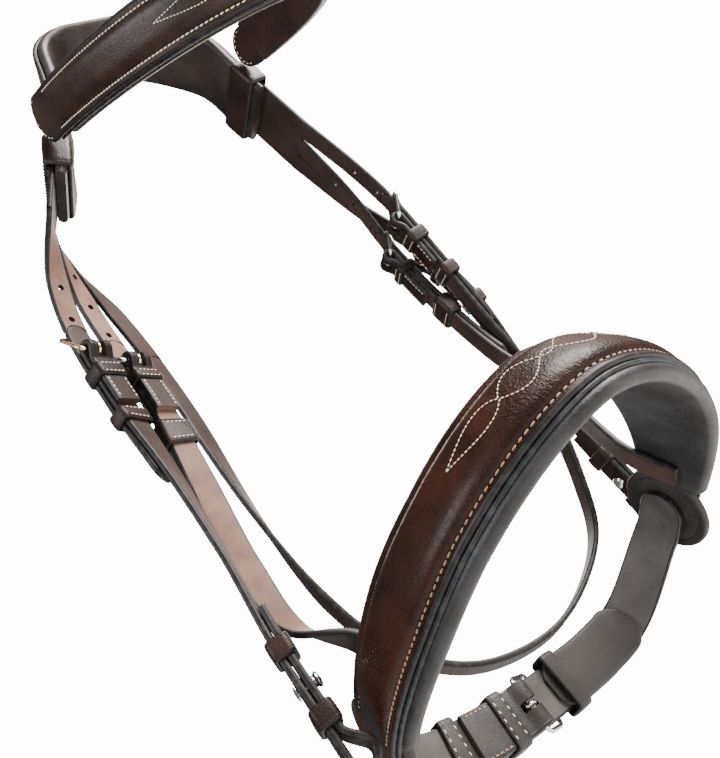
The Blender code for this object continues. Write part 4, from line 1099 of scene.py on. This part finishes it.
def browLine():
    b = browband
    ends = []
    for sign, side in ((-1, "left"), (1, "right")):
        height = headpiece["loopHeights"][side] - b["hingeDrop"]
        here, run, width, normal = crown.along(crown.heightPlace(height, side == "right"))
        loop = headpiece["width"] / 2 + headpiece["liningMargin"] + b["fit"] + b["loopWall"]
        front = here - width * (loop + b["endGaps"][side])
        ends.append(Vector((sign * b["halfSpan"], front.y - b["width"] / 2, height)))
    across = (ends[1] - ends[0]).normalized()
    forward = Vector((0, -math.cos(b["droop"]), -math.sin(b["droop"])))
    forward = (forward - across * forward.dot(across)).normalized()
    flat = archRow(b["halfSpan"], b["depth"], b["power"], 14)
    hinge, back = (ends[0] + ends[1]) / 2, forward * b["width"] / 2
    points = [hinge + across * x + forward * y for x, y in flat]
    points = [points[0] - back] + points + [points[-1] - back]
    return Route(points, [forward.cross(across)] * len(points), 1, 8)


brow = browLine()


def browTop(s, u):
    half = browband["raiseWidth"] / 2 + browband["raiseOut"]
    flat = stock["thickness"] - browband["sink"]
    if abs(u) >= half:
        return flat + marginHeight(u, half, browband["width"] / 2, browband)
    ends = min(s, brow.total - s) - browband["inner"]
    share = min(1, max(0, ends / browband["raiseRun"]))
    rise = (stock["layerGap"] + browband["raise"]) * (1 - (1 - share) ** 3)
    return flat + rise * dome(u / half)


def browFace():
    w = browband["width"]
    places = tipStops(0.0, brow.total, spacing["round"], w / 2)
    shares = [k / 22 for k in range(-22, 23)]
    rings, uvs = [], []
    for s in places:
        here, run, width, normal = brow.along(s)
        half = max(min(tipWidth(w, 0, s), tipWidth(w, brow.total, s)), 0.0006) / 2
        whole = half > w * 0.49  # away from the round ends, which are margin all over
        tops = [browTop(s, u * w / 2 if whole else w / 2 * (0.8 + 0.2 * abs(u))) for u in shares]
        ring = [here + width * u * half + normal * top for u, top in zip(shares, tops)]
        rings.append(ring + backRing(here, width, normal, half, browband))
        uvs.append([half * (1 - abs(u)) for u in shares] + [0.0] * 7)
    count = len(shares)

    def edges(row, column):
        return uvs[row][column], places[row]

    def pick(row, column):
        if count < column < count + 5:
            return 2
        return 1 if column < 1 or column >= count - 2 else 0

    made = skin("browbandStrap", rings, ["brow", "edge", "warmLining"], edges, pick=pick, smooth=60)
    dress(made, "browband", "dark_leather", "browband_strap", "browband_raised_centre")


def browLining():
    b = browband
    start = b["inner"] - b["liningOver"]
    end = brow.total - b["inner"] + b["liningOver"]
    rings = []
    for s in stops(start, end, spacing["strap"]):
        here, run, width, normal = brow.along(s)
        full = math.sqrt(min(1.0, 0.3 + min(s - start, end - s) / b["liningEase"]))
        half = b["width"] / 2 + b["liningMargin"] * full + b["rollOut"]
        top = -stock["layerGap"]
        low = top - b["lining"] * (0.6 + 0.4 * full)
        rings.append([here + width * u + normal * v for u, v in liningRing(half, top, low)])
    made = skin("browbandLining", rings, ["warmLining"], smooth=70)
    dress(made, "browband", "lining", "browband_lining")
    piping("browbandPiping", brow, lambda s: b["width"] / 2, b, "browband")


def browStitching():
    b = browband
    row = b["raiseWidth"] / 2 + b["rowOut"]
    rows = []
    for sign in (1, -1):
        rows += stitchLine(brow, b["rowStart"], brow.total - b["rowStart"], b["rowPitch"], sign * row,
                           lambda s, u: browTop(s, u) + stitch["raised"])
    # the round ends are stitched round too, on both faces
    reach = b["width"] / 2 - b["endRow"]
    for centre, out in ((b["width"] / 2, -1), (brow.total - b["width"] / 2, 1)):
        for sign in (1, -1):
            for j in range(9):
                a = math.pi * (j + 0.5) / 9 - math.pi / 2
                here, run, width, normal = brow.along(centre + out * math.cos(a) * reach)
                height = stock["thickness"] + b["endLift"] if sign > 0 else -b["endLift"]
                spot = here + width * math.sin(a) * reach + normal * height
                way = (width * math.cos(a) - run * out * math.sin(a)).normalized()
                rows.append((spot, way, normal * sign))
    sew("browbandRows", rows, "browband", "browband")
    fancy = fancySpots(brow, brow.total / 2, b["fancyHalf"], b["fancyWidth"], browTop)
    sew("browbandFancyStitching", fancy, "browbandFancy", "browband")


browFace()
browLining()
browStitching()
print("browband made")


# headpiece
buckle = {"wire": 0.0022, "length": 0.0150, "corner": 0.0030, "sideGap": 0.0010, "tongue": 0.0020,
          "barGap": 0.0008, "below": 0.0210, "turnBack": 0.036, "flex": 0.0005, "firstHole": 0.37}
keeper = {"wall": 0.0014, "length": 0.0085, "gap": 0.0003, "looseGap": 0.0008, "row": 0.32, "rowPitch": 0.175}
# the left cheek and hanger tails keep the flesh's own colour; every other inside gets the painted shade copy
# of the flesh
insides = {("cheek", "left"): "flesh", ("hanger", "left"): "flesh"}


def crownTail(part, side):
    # one of the crown's tails, from the slit to the billet's round start
    w, t = stock["strapWidth"], stock["thickness"]
    finger = (headpiece["width"] - 2 * headpiece["slit"]) / 3
    route = lines[(part, side)]
    backwards = part == "throat" and side == "left"
    end = tailEnd(part, side)
    length = route.total - end if backwards else end
    stations = []
    for away in stops(0.0, length + headpiece["horns"], spacing["strap"]):
        here, run, width, normal = route.along(route.total - away if backwards else away)
        size = finger + (w - finger) * min(1, away / length)
        stations.append((here + normal * t / 2, width, normal, size, away))
    inside = insides.get((part, side), "shadedFlesh")
    tail = laidStrap("crownTail" + part.title() + side.title(), stations, ["grain", inside, "edge"], 0.0011)
    socket = end + (-1 if backwards else 1) * (buckle["flex"] + w / 2)
    cutHoles(tail, route, [(socket, False)], w + headpiece["socketGap"])
    count = headpiece["tailHoles"].get(part, 0)
    first = end + headpiece["firstHole"]
    cutHoles(tail, route, [(first - punch["pitch"] * k, False) for k in range(1, count + 1)], punch["tail"])
    return tail


def headLeather():
    h, t = headpiece, stock["thickness"]
    tails = [crownTail(part, side) for side in ("left", "right") for part in ("cheek", "hanger", "throat")]
    places = stops(-h["tailOver"], crownTop - h["seat"] / 2, spacing["crown"])
    places += stops(crownTop + h["seat"] / 2, crown.total + h["tailOver"], spacing["crown"])
    stations = flatStations(crown, places, lambda s: h["width"], t / 2)
    top = laidStrap("crownTop", stations, ["grain", "shadedFlesh", "edge"], 0.0011, 8)
    whole = join("crownLeather", [top] + tails)
    dress(whole, "headpiece", "dark_leather", "crown_piece")
    rows = []
    for sign in (1, -1):
        across, height = sign * (h["width"] / 2 - h["rowInset"]), t + stitch["lift"]
        rows += stitchLine(crown, loopPlaces["left"] - h["belowLoop"], crownTop - h["rowSeat"],
                           stitch["pitch"], across, height)
        rows += stitchLine(crown, loopPlaces["right"] + h["belowLoop"], crownTop + h["rowSeat"],
                           stitch["pitch"], across, height)
    sew("crownRows", rows, "crown", "headpiece")


def headLining():
    h = headpiece
    half = h["width"] / 2 + h["liningMargin"]
    low, high = loopPlaces["left"] - h["belowLoop"], loopPlaces["right"] + h["belowLoop"]
    places = stops(low, crownTop - h["seat"] / 2, spacing["crown"])
    places += stops(crownTop + h["seat"] / 2, high, spacing["crown"])
    rings = []
    for s in places:
        here, run, width, normal = crown.along(s)
        full = math.sqrt(min(1.0, 0.3 + min(s - low, high - s) / h["liningEase"]))
        top = -stock["softGap"] + h["liningLift"]
        under = -stock["softGap"] - h["lining"] * (0.6 + 0.4 * full)
        ring = []
        for u, v in liningRing(half * (0.94 + 0.06 * full) + h["rollOut"], top, under):
            # sewn channels along the padding
            groove = max(0.0, 1 - abs(abs(u) - h["channel"]) / h["channelHalf"])
            ring.append(here + width * u + normal * (v + (h["channelDepth"] * groove if v < -0.003 else 0.0)))
        rings.append(ring)
    made = skin("crownPadding", rings, ["crownLining"], smooth=70)
    dress(made, "headpiece", "lining", "crown_lining")


# a loop's wall from one edge to the other: share of its length, share of its thickness
loopWall = ((-0.5, 0.0), (-0.5, 0.30), (-0.46, 0.72), (-0.40, 0.94), (-0.30, 1.0), (0.0, 1.06), (0.30, 1.0),
            (0.40, 0.94), (0.46, 0.72), (0.5, 0.30), (0.5, 0.0))


def bandLoop(name, route, s, length, inner, low, high, wall, slots, corner=0.0012):
    # a rounded band round the strap
    half = inner / 2
    centres = ((half - corner, high - corner, 0), (-half + corner, high - corner, 90),
               (-half + corner, low + corner, 180), (half - corner, low + corner, 270))
    rings = []
    for cu, cv, start in centres:
        for k in range(7):
            a = math.radians(start + 90 * k / 6)
            ring = []
            for share, out in loopWall:
                here, run, width, normal = route.along(s + length * share)
                r = corner + wall * out
                ring.append(here + width * (cu + r * math.cos(a)) + normal * (cv + r * math.sin(a)))
            rings.append(ring)

    def edges(row, column):
        return length * (0.5 - abs(loopWall[column][0])), 0.0

    def pick(row, column):
        return 1 if column in (0, 1, 8, 9, 10) else 0

    return skin(name, rings, slots, edges, closed=True, pick=pick, smooth=60)


def browLoops():
    b = browband
    inner = headpiece["width"] + 2 * (headpiece["liningMargin"] + b["fit"])
    low = -headpiece["lining"] - stock["softGap"] - b["fit"]
    high = stock["thickness"] + b["fit"]
    for side, s in loopPlaces.items():
        loop = bandLoop("browbandLoop" + side.title(), crown, s, b["loopLength"], inner, low, high,
                        b["loopWall"], ["brow", "edge"], 0.0008)
        dress(loop, "headpiece", "dark_leather", "browband_loop_" + side)
        rows = []
        for share in (-b["loopRow"], b["loopRow"]):
            here, run, width, normal = crown.along(s + b["loopLength"] * share)
            face = normal * (high + b["loopWall"] + stitch["lift"])
            rows += [(here + width * (b["rowPitch"] * k) + face, width, normal) for k in range(-7, 8)]
        sew("browbandLoopStitching" + side.title(), rows, "browbandLoop", "headpiece")


headLeather()
headLining()
browLoops()
print("headpiece made")


# buckles and straps
# heights from the strap's line: the layers, the buckle's bar and its far side
mainV = -stock["layerGap"] - stock["thickness"] / 2
backV = mainV - stock["thickness"] - stock["layerGap"]
foldRadius = buckle["wire"] / 2 + buckle["barGap"] + stock["thickness"] / 2
barV = mainV - foldRadius
farV = stock["thickness"] + stock["layerGap"] + buckle["wire"] / 2


def named(part, kind, side):
    # a piece's name here, and the name of the node that it stands for
    words = [part] + kind.split() + ([side] if side else [])
    return part + "".join(word.title() for word in words[1:]), "_".join(words)


def makeBuckle(part, side, route, barS, inner, metal, body):
    here, run, width, normal = route.along(barS)
    inset, long = buckle["corner"], buckle["length"]
    half = inner / 2 + buckle["sideGap"] + buckle["wire"] / 2
    points = []
    corners = ((half - inset, -inset, 0.0), (half - inset, -long + inset, -0.5),
               (-half + inset, -long + inset, -1.0), (-half + inset, -inset, -1.5))
    for cu, cs, start in corners:
        for k in range(9):
            a = math.pi * (start + 0.5 - 0.5 * k / 8)
            u, s = cu + inset * math.cos(a), cs + inset * math.sin(a)
            points.append(here + width * u + run * s + normal * (barV + (farV - barV) * (-s / long)))
    dense = []
    for i, p in enumerate(points):  # a few more rings on the straight sides
        q = points[(i + 1) % len(points)]
        count = max(1, round((q - p).length / 0.0016))
        dense += [p.lerp(q, k / count) for k in range(count)]
    name, node = named(part, "buckle", side)
    dress(tube(name, dense, buckle["wire"] / 2, 18, metal, closed=True), body, "steel", node)


def makeTongue(part, side, route, barS, metal):
    here, run, width, normal = route.along(barS)
    long, t, thick = buckle["length"], stock["thickness"], buckle["tongue"] / 2
    radius = buckle["wire"] / 2 + buckle["barGap"] + thick
    restV = farV + radius
    path = [(radius * math.cos(a), barV + radius * math.sin(a))
            for a in (math.radians(-160 + 15 * k) for k in range(17))]
    knots = [path[-1], (-long * 0.28, -t * 0.26), (-long * 0.37, t * 0.50), (-long * 0.48, t * 1.45),
             (-long * 0.70, t * 2.10), (-long, restV), (-long - buckle["wire"], restV)]
    knots = [Vector((a, b)) for a, b in knots]
    padded = [knots[0] * 2 - knots[1]] + knots + [knots[-1] * 2 - knots[-2]]
    for i in range(1, len(padded) - 2):
        for k in range(1, 6):
            p = through(padded[i - 1:i + 3], k / 5)
            path.append((p.x, p.y))
    points = [here + run * s + normal * v for s, v in path]
    radii = [thick] * len(points)
    for k, share in enumerate((0.35, 0.75, 0.93)):
        radii[-1 - k] = thick * share
    name, node = named(part, "tongue", side)
    dress(tube(name, points, radii, 14, metal), node, "steel", node)


def makeBillet(part, side, route, start, end, width, holes, body, slots):

    def size(s):
        return max(min(tipWidth(width, start, s), tipWidth(width, end, s)), narrowest)

    places = tipStops(start, end, spacing["strap"], width / 2)
    stations = flatStations(route, places, size, stock["thickness"] / 2)
    name, node = named(part, "billet", side)
    made = laidStrap(name, stations, slots)
    cutHoles(made, route, holes, punch["billet"])
    dress(made, body, "dark_leather", node)


def fasten(part, side, route, barS, width, metal, body, start, end, holes, slots):
    # the buckle, its tongue and the billet that goes through it
    makeBuckle(part, side, route, barS, width, metal, body)
    makeTongue(part, side, route, barS, metal)
    first = barS - buckle["length"] * buckle["firstHole"]
    spots = [(first, True)] + [(first + punch["pitch"] * k, False) for k in holes]
    makeBillet(part, side, route, start, end, width, spots, body, slots)


def foldedPath(barS, endS):
    # along the fold's back, round the bar and down the strap
    close = barS + foldRadius * 2.2
    path = [(s, backV) for s in stops(barS + buckle["turnBack"], close, spacing["strap"])]
    for k in range(1, 6):  # eases out to the bar
        path.append((close + (barS - close) * k / 6, backV + (barV - foldRadius - backV) * ease(k / 6)))
    for k in range(0, 13):
        a = math.radians(270 - 15 * k)
        path.append((barS + foldRadius * math.cos(a), barV + foldRadius * math.sin(a)))
    return path + [(s, mainV) for s in stops(barS, endS, spacing["strap"])[1:]]


def foldedStrap(name, route, path, widths, slots, rounding, barS):
    # the strap, with the tongue's slot through its bend
    strap = laidStrap(name, foldedStations(route, path, widths), slots, rounding)
    here, run, width, normal = route.along(barS)
    reach = 2 * (buckle["wire"] / 2 + buckle["barGap"] + stock["thickness"] + punch["slotOver"])
    bpy.ops.object.select_all(action="DESELECT")
    bpy.ops.mesh.primitive_cube_add(size=1.0)
    cutter = bpy.context.active_object
    edit(cutter)
    bpy.ops.mesh.bevel(offset=0.12, segments=3, affect="EDGES")
    leave()
    middle = here + normal * barV
    for v in cutter.data.vertices:
        v.co = middle + run * v.co.x * reach + width * v.co.y * punch["slotWidth"] + normal * v.co.z * reach
    carve(strap, cutter)
    return strap


def makeKeeper(part, kind, side, route, s, length, inner, fromV, spare, body, finish):
    # a leather keeper round the layers, with two short sewn rows on its inner side
    name, node = named(part, kind, side)
    low, high = fromV - stock["thickness"] / 2 - spare, stock["thickness"] + spare
    made = bandLoop(name, route, s, length, inner + 2 * spare, low, high, keeper["wall"],
                    [finish, "edge"])
    dress(made, body or node, "dark_leather", node)
    rows = []
    for share in (-keeper["row"], keeper["row"]):
        here, run, width, normal = route.along(s + length * share)
        for k in range(-2, 3):
            place = here + width * (inner * keeper["rowPitch"] * k) + normal * (low - keeper["wall"])
            rows.append((place, width, -normal))
    sew(name + "Sewing", rows, "keeper", body or node)


def addKeepers(part, side, route, barS, width, sizes, body, finish="grain"):
    # the fixed keeper holds the fold, and the runner slides on a body of its own
    place, length = sizes["fixed"]
    makeKeeper(part, "fixed keeper", side, route, barS + place, length, width, backV, keeper["gap"], body,
               finish)
    place, length = sizes["runner"]
    makeKeeper(part, "runner", side, route, barS + place, length, width, mainV, keeper["looseGap"], None,
               finish)


def sewFold(part, side, route, barS, width, sizes, body, kind="fold"):
    # a row near each edge on both sides of the fold
    start, end = barS + sizes["sewn"][0], barS + sizes["sewn"][1]
    low, high = backV - stock["thickness"] / 2, mainV + stock["thickness"] / 2
    rows = []
    for sign in (1, -1):
        across = sign * (width / 2 - stitch["foldInset"])
        rows += stitchLine(route, start, end, stitch["pitch"], across, high + stitch["lift"])
        for here, run, normal in stitchLine(route, start, end, stitch["pitch"], across, low - stitch["lift"]):
            rows.append((here, run, -normal))
    name, node = named(part, "fold stitching", side)
    sew(name, rows, kind, body, "strap_leather")


# place below the bar and length of each keeper, and where the fold's sewing starts and ends
straps = {
    "cheek": {"billet": 0.105, "holes": (1, 2, 3), "fixed": (0.0150, 0.0085), "runner": (0.0440, 0.0085),
              "sewn": (0.0205, 0.0345), "rounding": 0.0012},
    "hanger": {"billet": 0.120, "holes": (1, 2, 3, 4), "fixed": (0.0125, 0.0060),
               "runner": (0.0500, 0.0150), "sewn": (0.0165, 0.0350), "rounding": 0.0010},
    "throat": {"billet": 0.110, "holes": (1, 2, 3, 4), "fixed": (0.0150, 0.0085),
               "runner": (0.0440, 0.0085), "sewn": (0.0205, 0.0345), "rounding": 0.0013,
               "rise": 0.060}}


def startStrap(part, side, end, metal, body, inside):
    # what every hanging strap has at its top; gives back its line and its bar's place
    route, tail = lines[(part, end)], tailEnd(part, end)
    barS, start = tail + buckle["below"], tail + buckle["flex"]
    fasten(part, side, route, barS, stock["strapWidth"], metal, body, start, start + straps[part]["billet"],
           straps[part]["holes"], ["grain", inside, "edge"])
    return route, barS


# the cheekpiece's lower end: the eye's radius, the fold's length, and places as shares of the fold
bitEnd = {"eye": 0.0034, "fold": 0.062, "keepers": (("upper", 0.72), ("lower", 0.27)), "stud": 0.47}
studOutside = ((0.0011, 0.0002), (0.0010, 0.0016), (0.0006, 0.0027), (0.0, 0.0032), (0.0, 0.0016))
studInside = ((0.0, 0.0016), (0.0, 0.0024), (0.0005, 0.0022), (0.0009, 0.0026), (0.0014, 0.0032),
              (0.0019, 0.0031), (0.0024, 0.0024), (0.0027, 0.0012), (0.0028, 0.0002))


def hookStud(side, route, low, high, body):
    # a low dome outside, and a turned neck with a mushroom head inside
    here, run, width, normal = route.along(route.total - bitEnd["fold"] * bitEnd["stud"])
    profile = [(high + v, r) for v, r in studOutside] + [(low - v, r) for v, r in studInside]
    rings = [[here + normal * v + run * r * math.cos(2 * math.pi * k / 28)
              + width * r * math.sin(2 * math.pi * k / 28) for k in range(28)] for v, r in profile]
    made = skin("hookStud" + side.title(), rings, ["steel"], smooth=50)
    dress(made, body, "steel", "hook_stud_" + side)


def cheek(side):
    t, w, body = stock["thickness"], stock["strapWidth"], "cheek_" + side
    # the left cheek buckle gets the steel painted gold, a painted warm reflection; the right one is plain
    # steel
    metal = "brass" if side == "left" else "steel"
    route, barS = startStrap("cheek", side, side, metal, body, "shadedFlesh")
    end, eye = route.total, bitEnd["eye"] + t / 2
    path = foldedPath(barS, end)
    for k in range(1, 13):
        a = math.radians(90 - 15 * k)
        path.append((end + eye * math.cos(a), mainV - eye + eye * math.sin(a)))
    close = end - eye * 2.2
    for k in range(1, 7):
        path.append((end + (close - end) * k / 7, mainV - 2 * eye + (backV - mainV + 2 * eye) * ease(k / 7)))
    path += [(s, backV) for s in stops(close, end - bitEnd["fold"], spacing["strap"])]
    strap = foldedStrap("cheekStrap" + side.title(), route, path, [w] * len(path),
                        ["grain", "shadedFlesh", "edge"], straps["cheek"]["rounding"], barS)
    dress(strap, body, "strap_leather", "cheekpiece_" + side)
    addKeepers("cheek", side, route, barS, w, straps["cheek"], body)
    low, high = backV - t / 2 - keeper["gap"], mainV + t / 2 + keeper["gap"]
    for part, share in bitEnd["keepers"]:
        name, node = named("bit", "keeper " + part, side)
        loop = bandLoop(name, route, end - bitEnd["fold"] * share, keeper["length"],
                        w + 2 * keeper["gap"], low, high, keeper["wall"], ["grain", "edge"])
        dress(loop, body, "dark_leather", node)
    sewFold("cheek", side, route, barS, w, straps["cheek"], body)
    hookStud(side, route, low, high, body)


def hanger(side):
    w, body = stock["strapWidth"], "noseband"
    # the right hanger's inside lies in shade behind the noseband, so it gets the painted shade copy of the
    # flesh
    inside = "flesh" if side == "left" else "shadedFlesh"
    route, barS = startStrap("hanger", side, side, "steel", body, inside)
    path = foldedPath(barS, route.total)
    strap = foldedStrap("hangerStrap" + side.title(), route, path, [w] * len(path),
                        ["grain", inside, "edge"], straps["hanger"]["rounding"], barS)
    dress(strap, body, "strap_leather", "noseband_hanger_" + side)
    addKeepers("hanger", side, route, barS, w, straps["hanger"], body)
    sewFold("hanger", side, route, barS, w, straps["hanger"], body)


def throatlatch():
    t, w, body = stock["thickness"], stock["strapWidth"], "throatlatch"
    # the throatlatch buckle also gets the steel painted gold, a painted warm reflection
    route, barS = startStrap("throat", "", "right", "brass", body, "shadedFlesh")
    end, rise = tailEnd("throat", "left") - buckle["flex"], straps["throat"]["rise"]
    path = []
    for s, v in foldedPath(barS, end - w / 2):
        path.append((s, v + (t / 2 - mainV) * ease((s - end + rise) / (rise - w / 2))))
    widths = [w] * len(path)
    for q in reversed(tipShares):
        path.append((end - w / 2 * q, t / 2))
        widths.append(max(tipWidth(w, end, end - w / 2 * q), narrowest))
    strap = foldedStrap("throatStrap", route, path, widths, ["grain", "shadedFlesh", "edge"],
                        straps["throat"]["rounding"], barS)
    dress(strap, body, "strap_leather", "throatlatch")
    addKeepers("throat", "", route, barS, w, straps["throat"], body)
    sewFold("throat", "", route, barS, w, straps["throat"], body)


def chinPadding(route, start, end, low, half):
    rings = []
    for s in tipStops(start + 0.001, end - 0.001, spacing["round"], chin["padRound"]):
        here, run, width, normal = route.along(s)
        ends = min(s - start, end - s)
        lowest = chin["padTop"] - (chin["padTop"] - low) * (0.35 + 0.65 * ease(ends / chin["padEase"]))
        curve = 1 - min(1.0, max(0.0, ends) / chin["padRound"])
        across = max(chin["padTip"], half * math.sqrt(1 - curve ** 2))
        rings.append([here + width * u + normal * v for u, v in liningRing(across, chin["padTop"], lowest)])
    made = skin("chinPadding", rings, ["chinLining"], smooth=70)
    dress(made, "chin_strap", "lining", "chin_pad")


def chinStrap():
    route, t, w, body = chinRoute, stock["thickness"], chin["width"], "chin_strap"
    barS = route.total - chin["buckleBack"]
    tip = barS + chin["tipReach"]
    fasten("chin", "", route, barS, w, "steel", body, -w / 2, tip, chin["holes"],
           ["chin", "chinFlesh", "edge"])
    path = foldedPath(barS, route.total)
    widths = [w] * len(path)
    for q in reversed(tipShares):
        s = route.total + w / 2 * (1 - q)
        path.append((s, mainV))
        widths.append(max(tipWidth(w, route.total + w / 2, s), narrowest))
    strap = foldedStrap("chinStrap", route, path, widths, ["chin", "chinFlesh", "edge"], 0.0010, barS)
    dress(strap, body, "dark_leather", "chin_strap")
    half, low = w / 2 + chin["padMargin"], chin["padTop"] - chin["padHeight"]
    padEnd = barS - chin["padToBuckle"]
    chinPadding(route, chin["padStart"], padEnd, low, half)
    loop = bandLoop("chinLoop", route, padEnd - chin["loopInset"], keeper["length"],
                    2 * (half + chin["loopFit"]), low - chin["loopFit"], t + chin["loopFit"],
                    keeper["wall"], ["chinLining", "edge"])
    dress(loop, body, "dark_leather", "chin_loop")
    addKeepers("chin", "", route, barS, w, chin, body, "chin")
    rows = []
    for sign in (1, -1):
        across = sign * (w / 2 - chin["rowInset"])
        rows += stitchLine(route, chin["rowEnd"], barS - 0.024, stitch["pitch"], across, t + stitch["lift"])
        rows += stitchLine(route, tip + 0.004, route.total - chin["rowEnd"], stitch["pitch"], across,
                           stitch["lift"] - stock["layerGap"])
    sew("chinRows", rows, "chin", body)
    sewFold("chin", "", route, barS, w, chin, body, "chin")


for side in ("left", "right"):
    cheek(side)
    hanger(side)
print("cheekpieces and hangers made")
throatlatch()
chinStrap()
print("throatlatch and chin strap made")

# every CAD node that still shows gets a finish of its own
for name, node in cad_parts.items():
    wanted = "steel" if any(word in name for word in ("buckle", "tongue", "stud")) else "grain"
    node.data.materials.clear()
    node.data.materials.append(finishes[wanted])
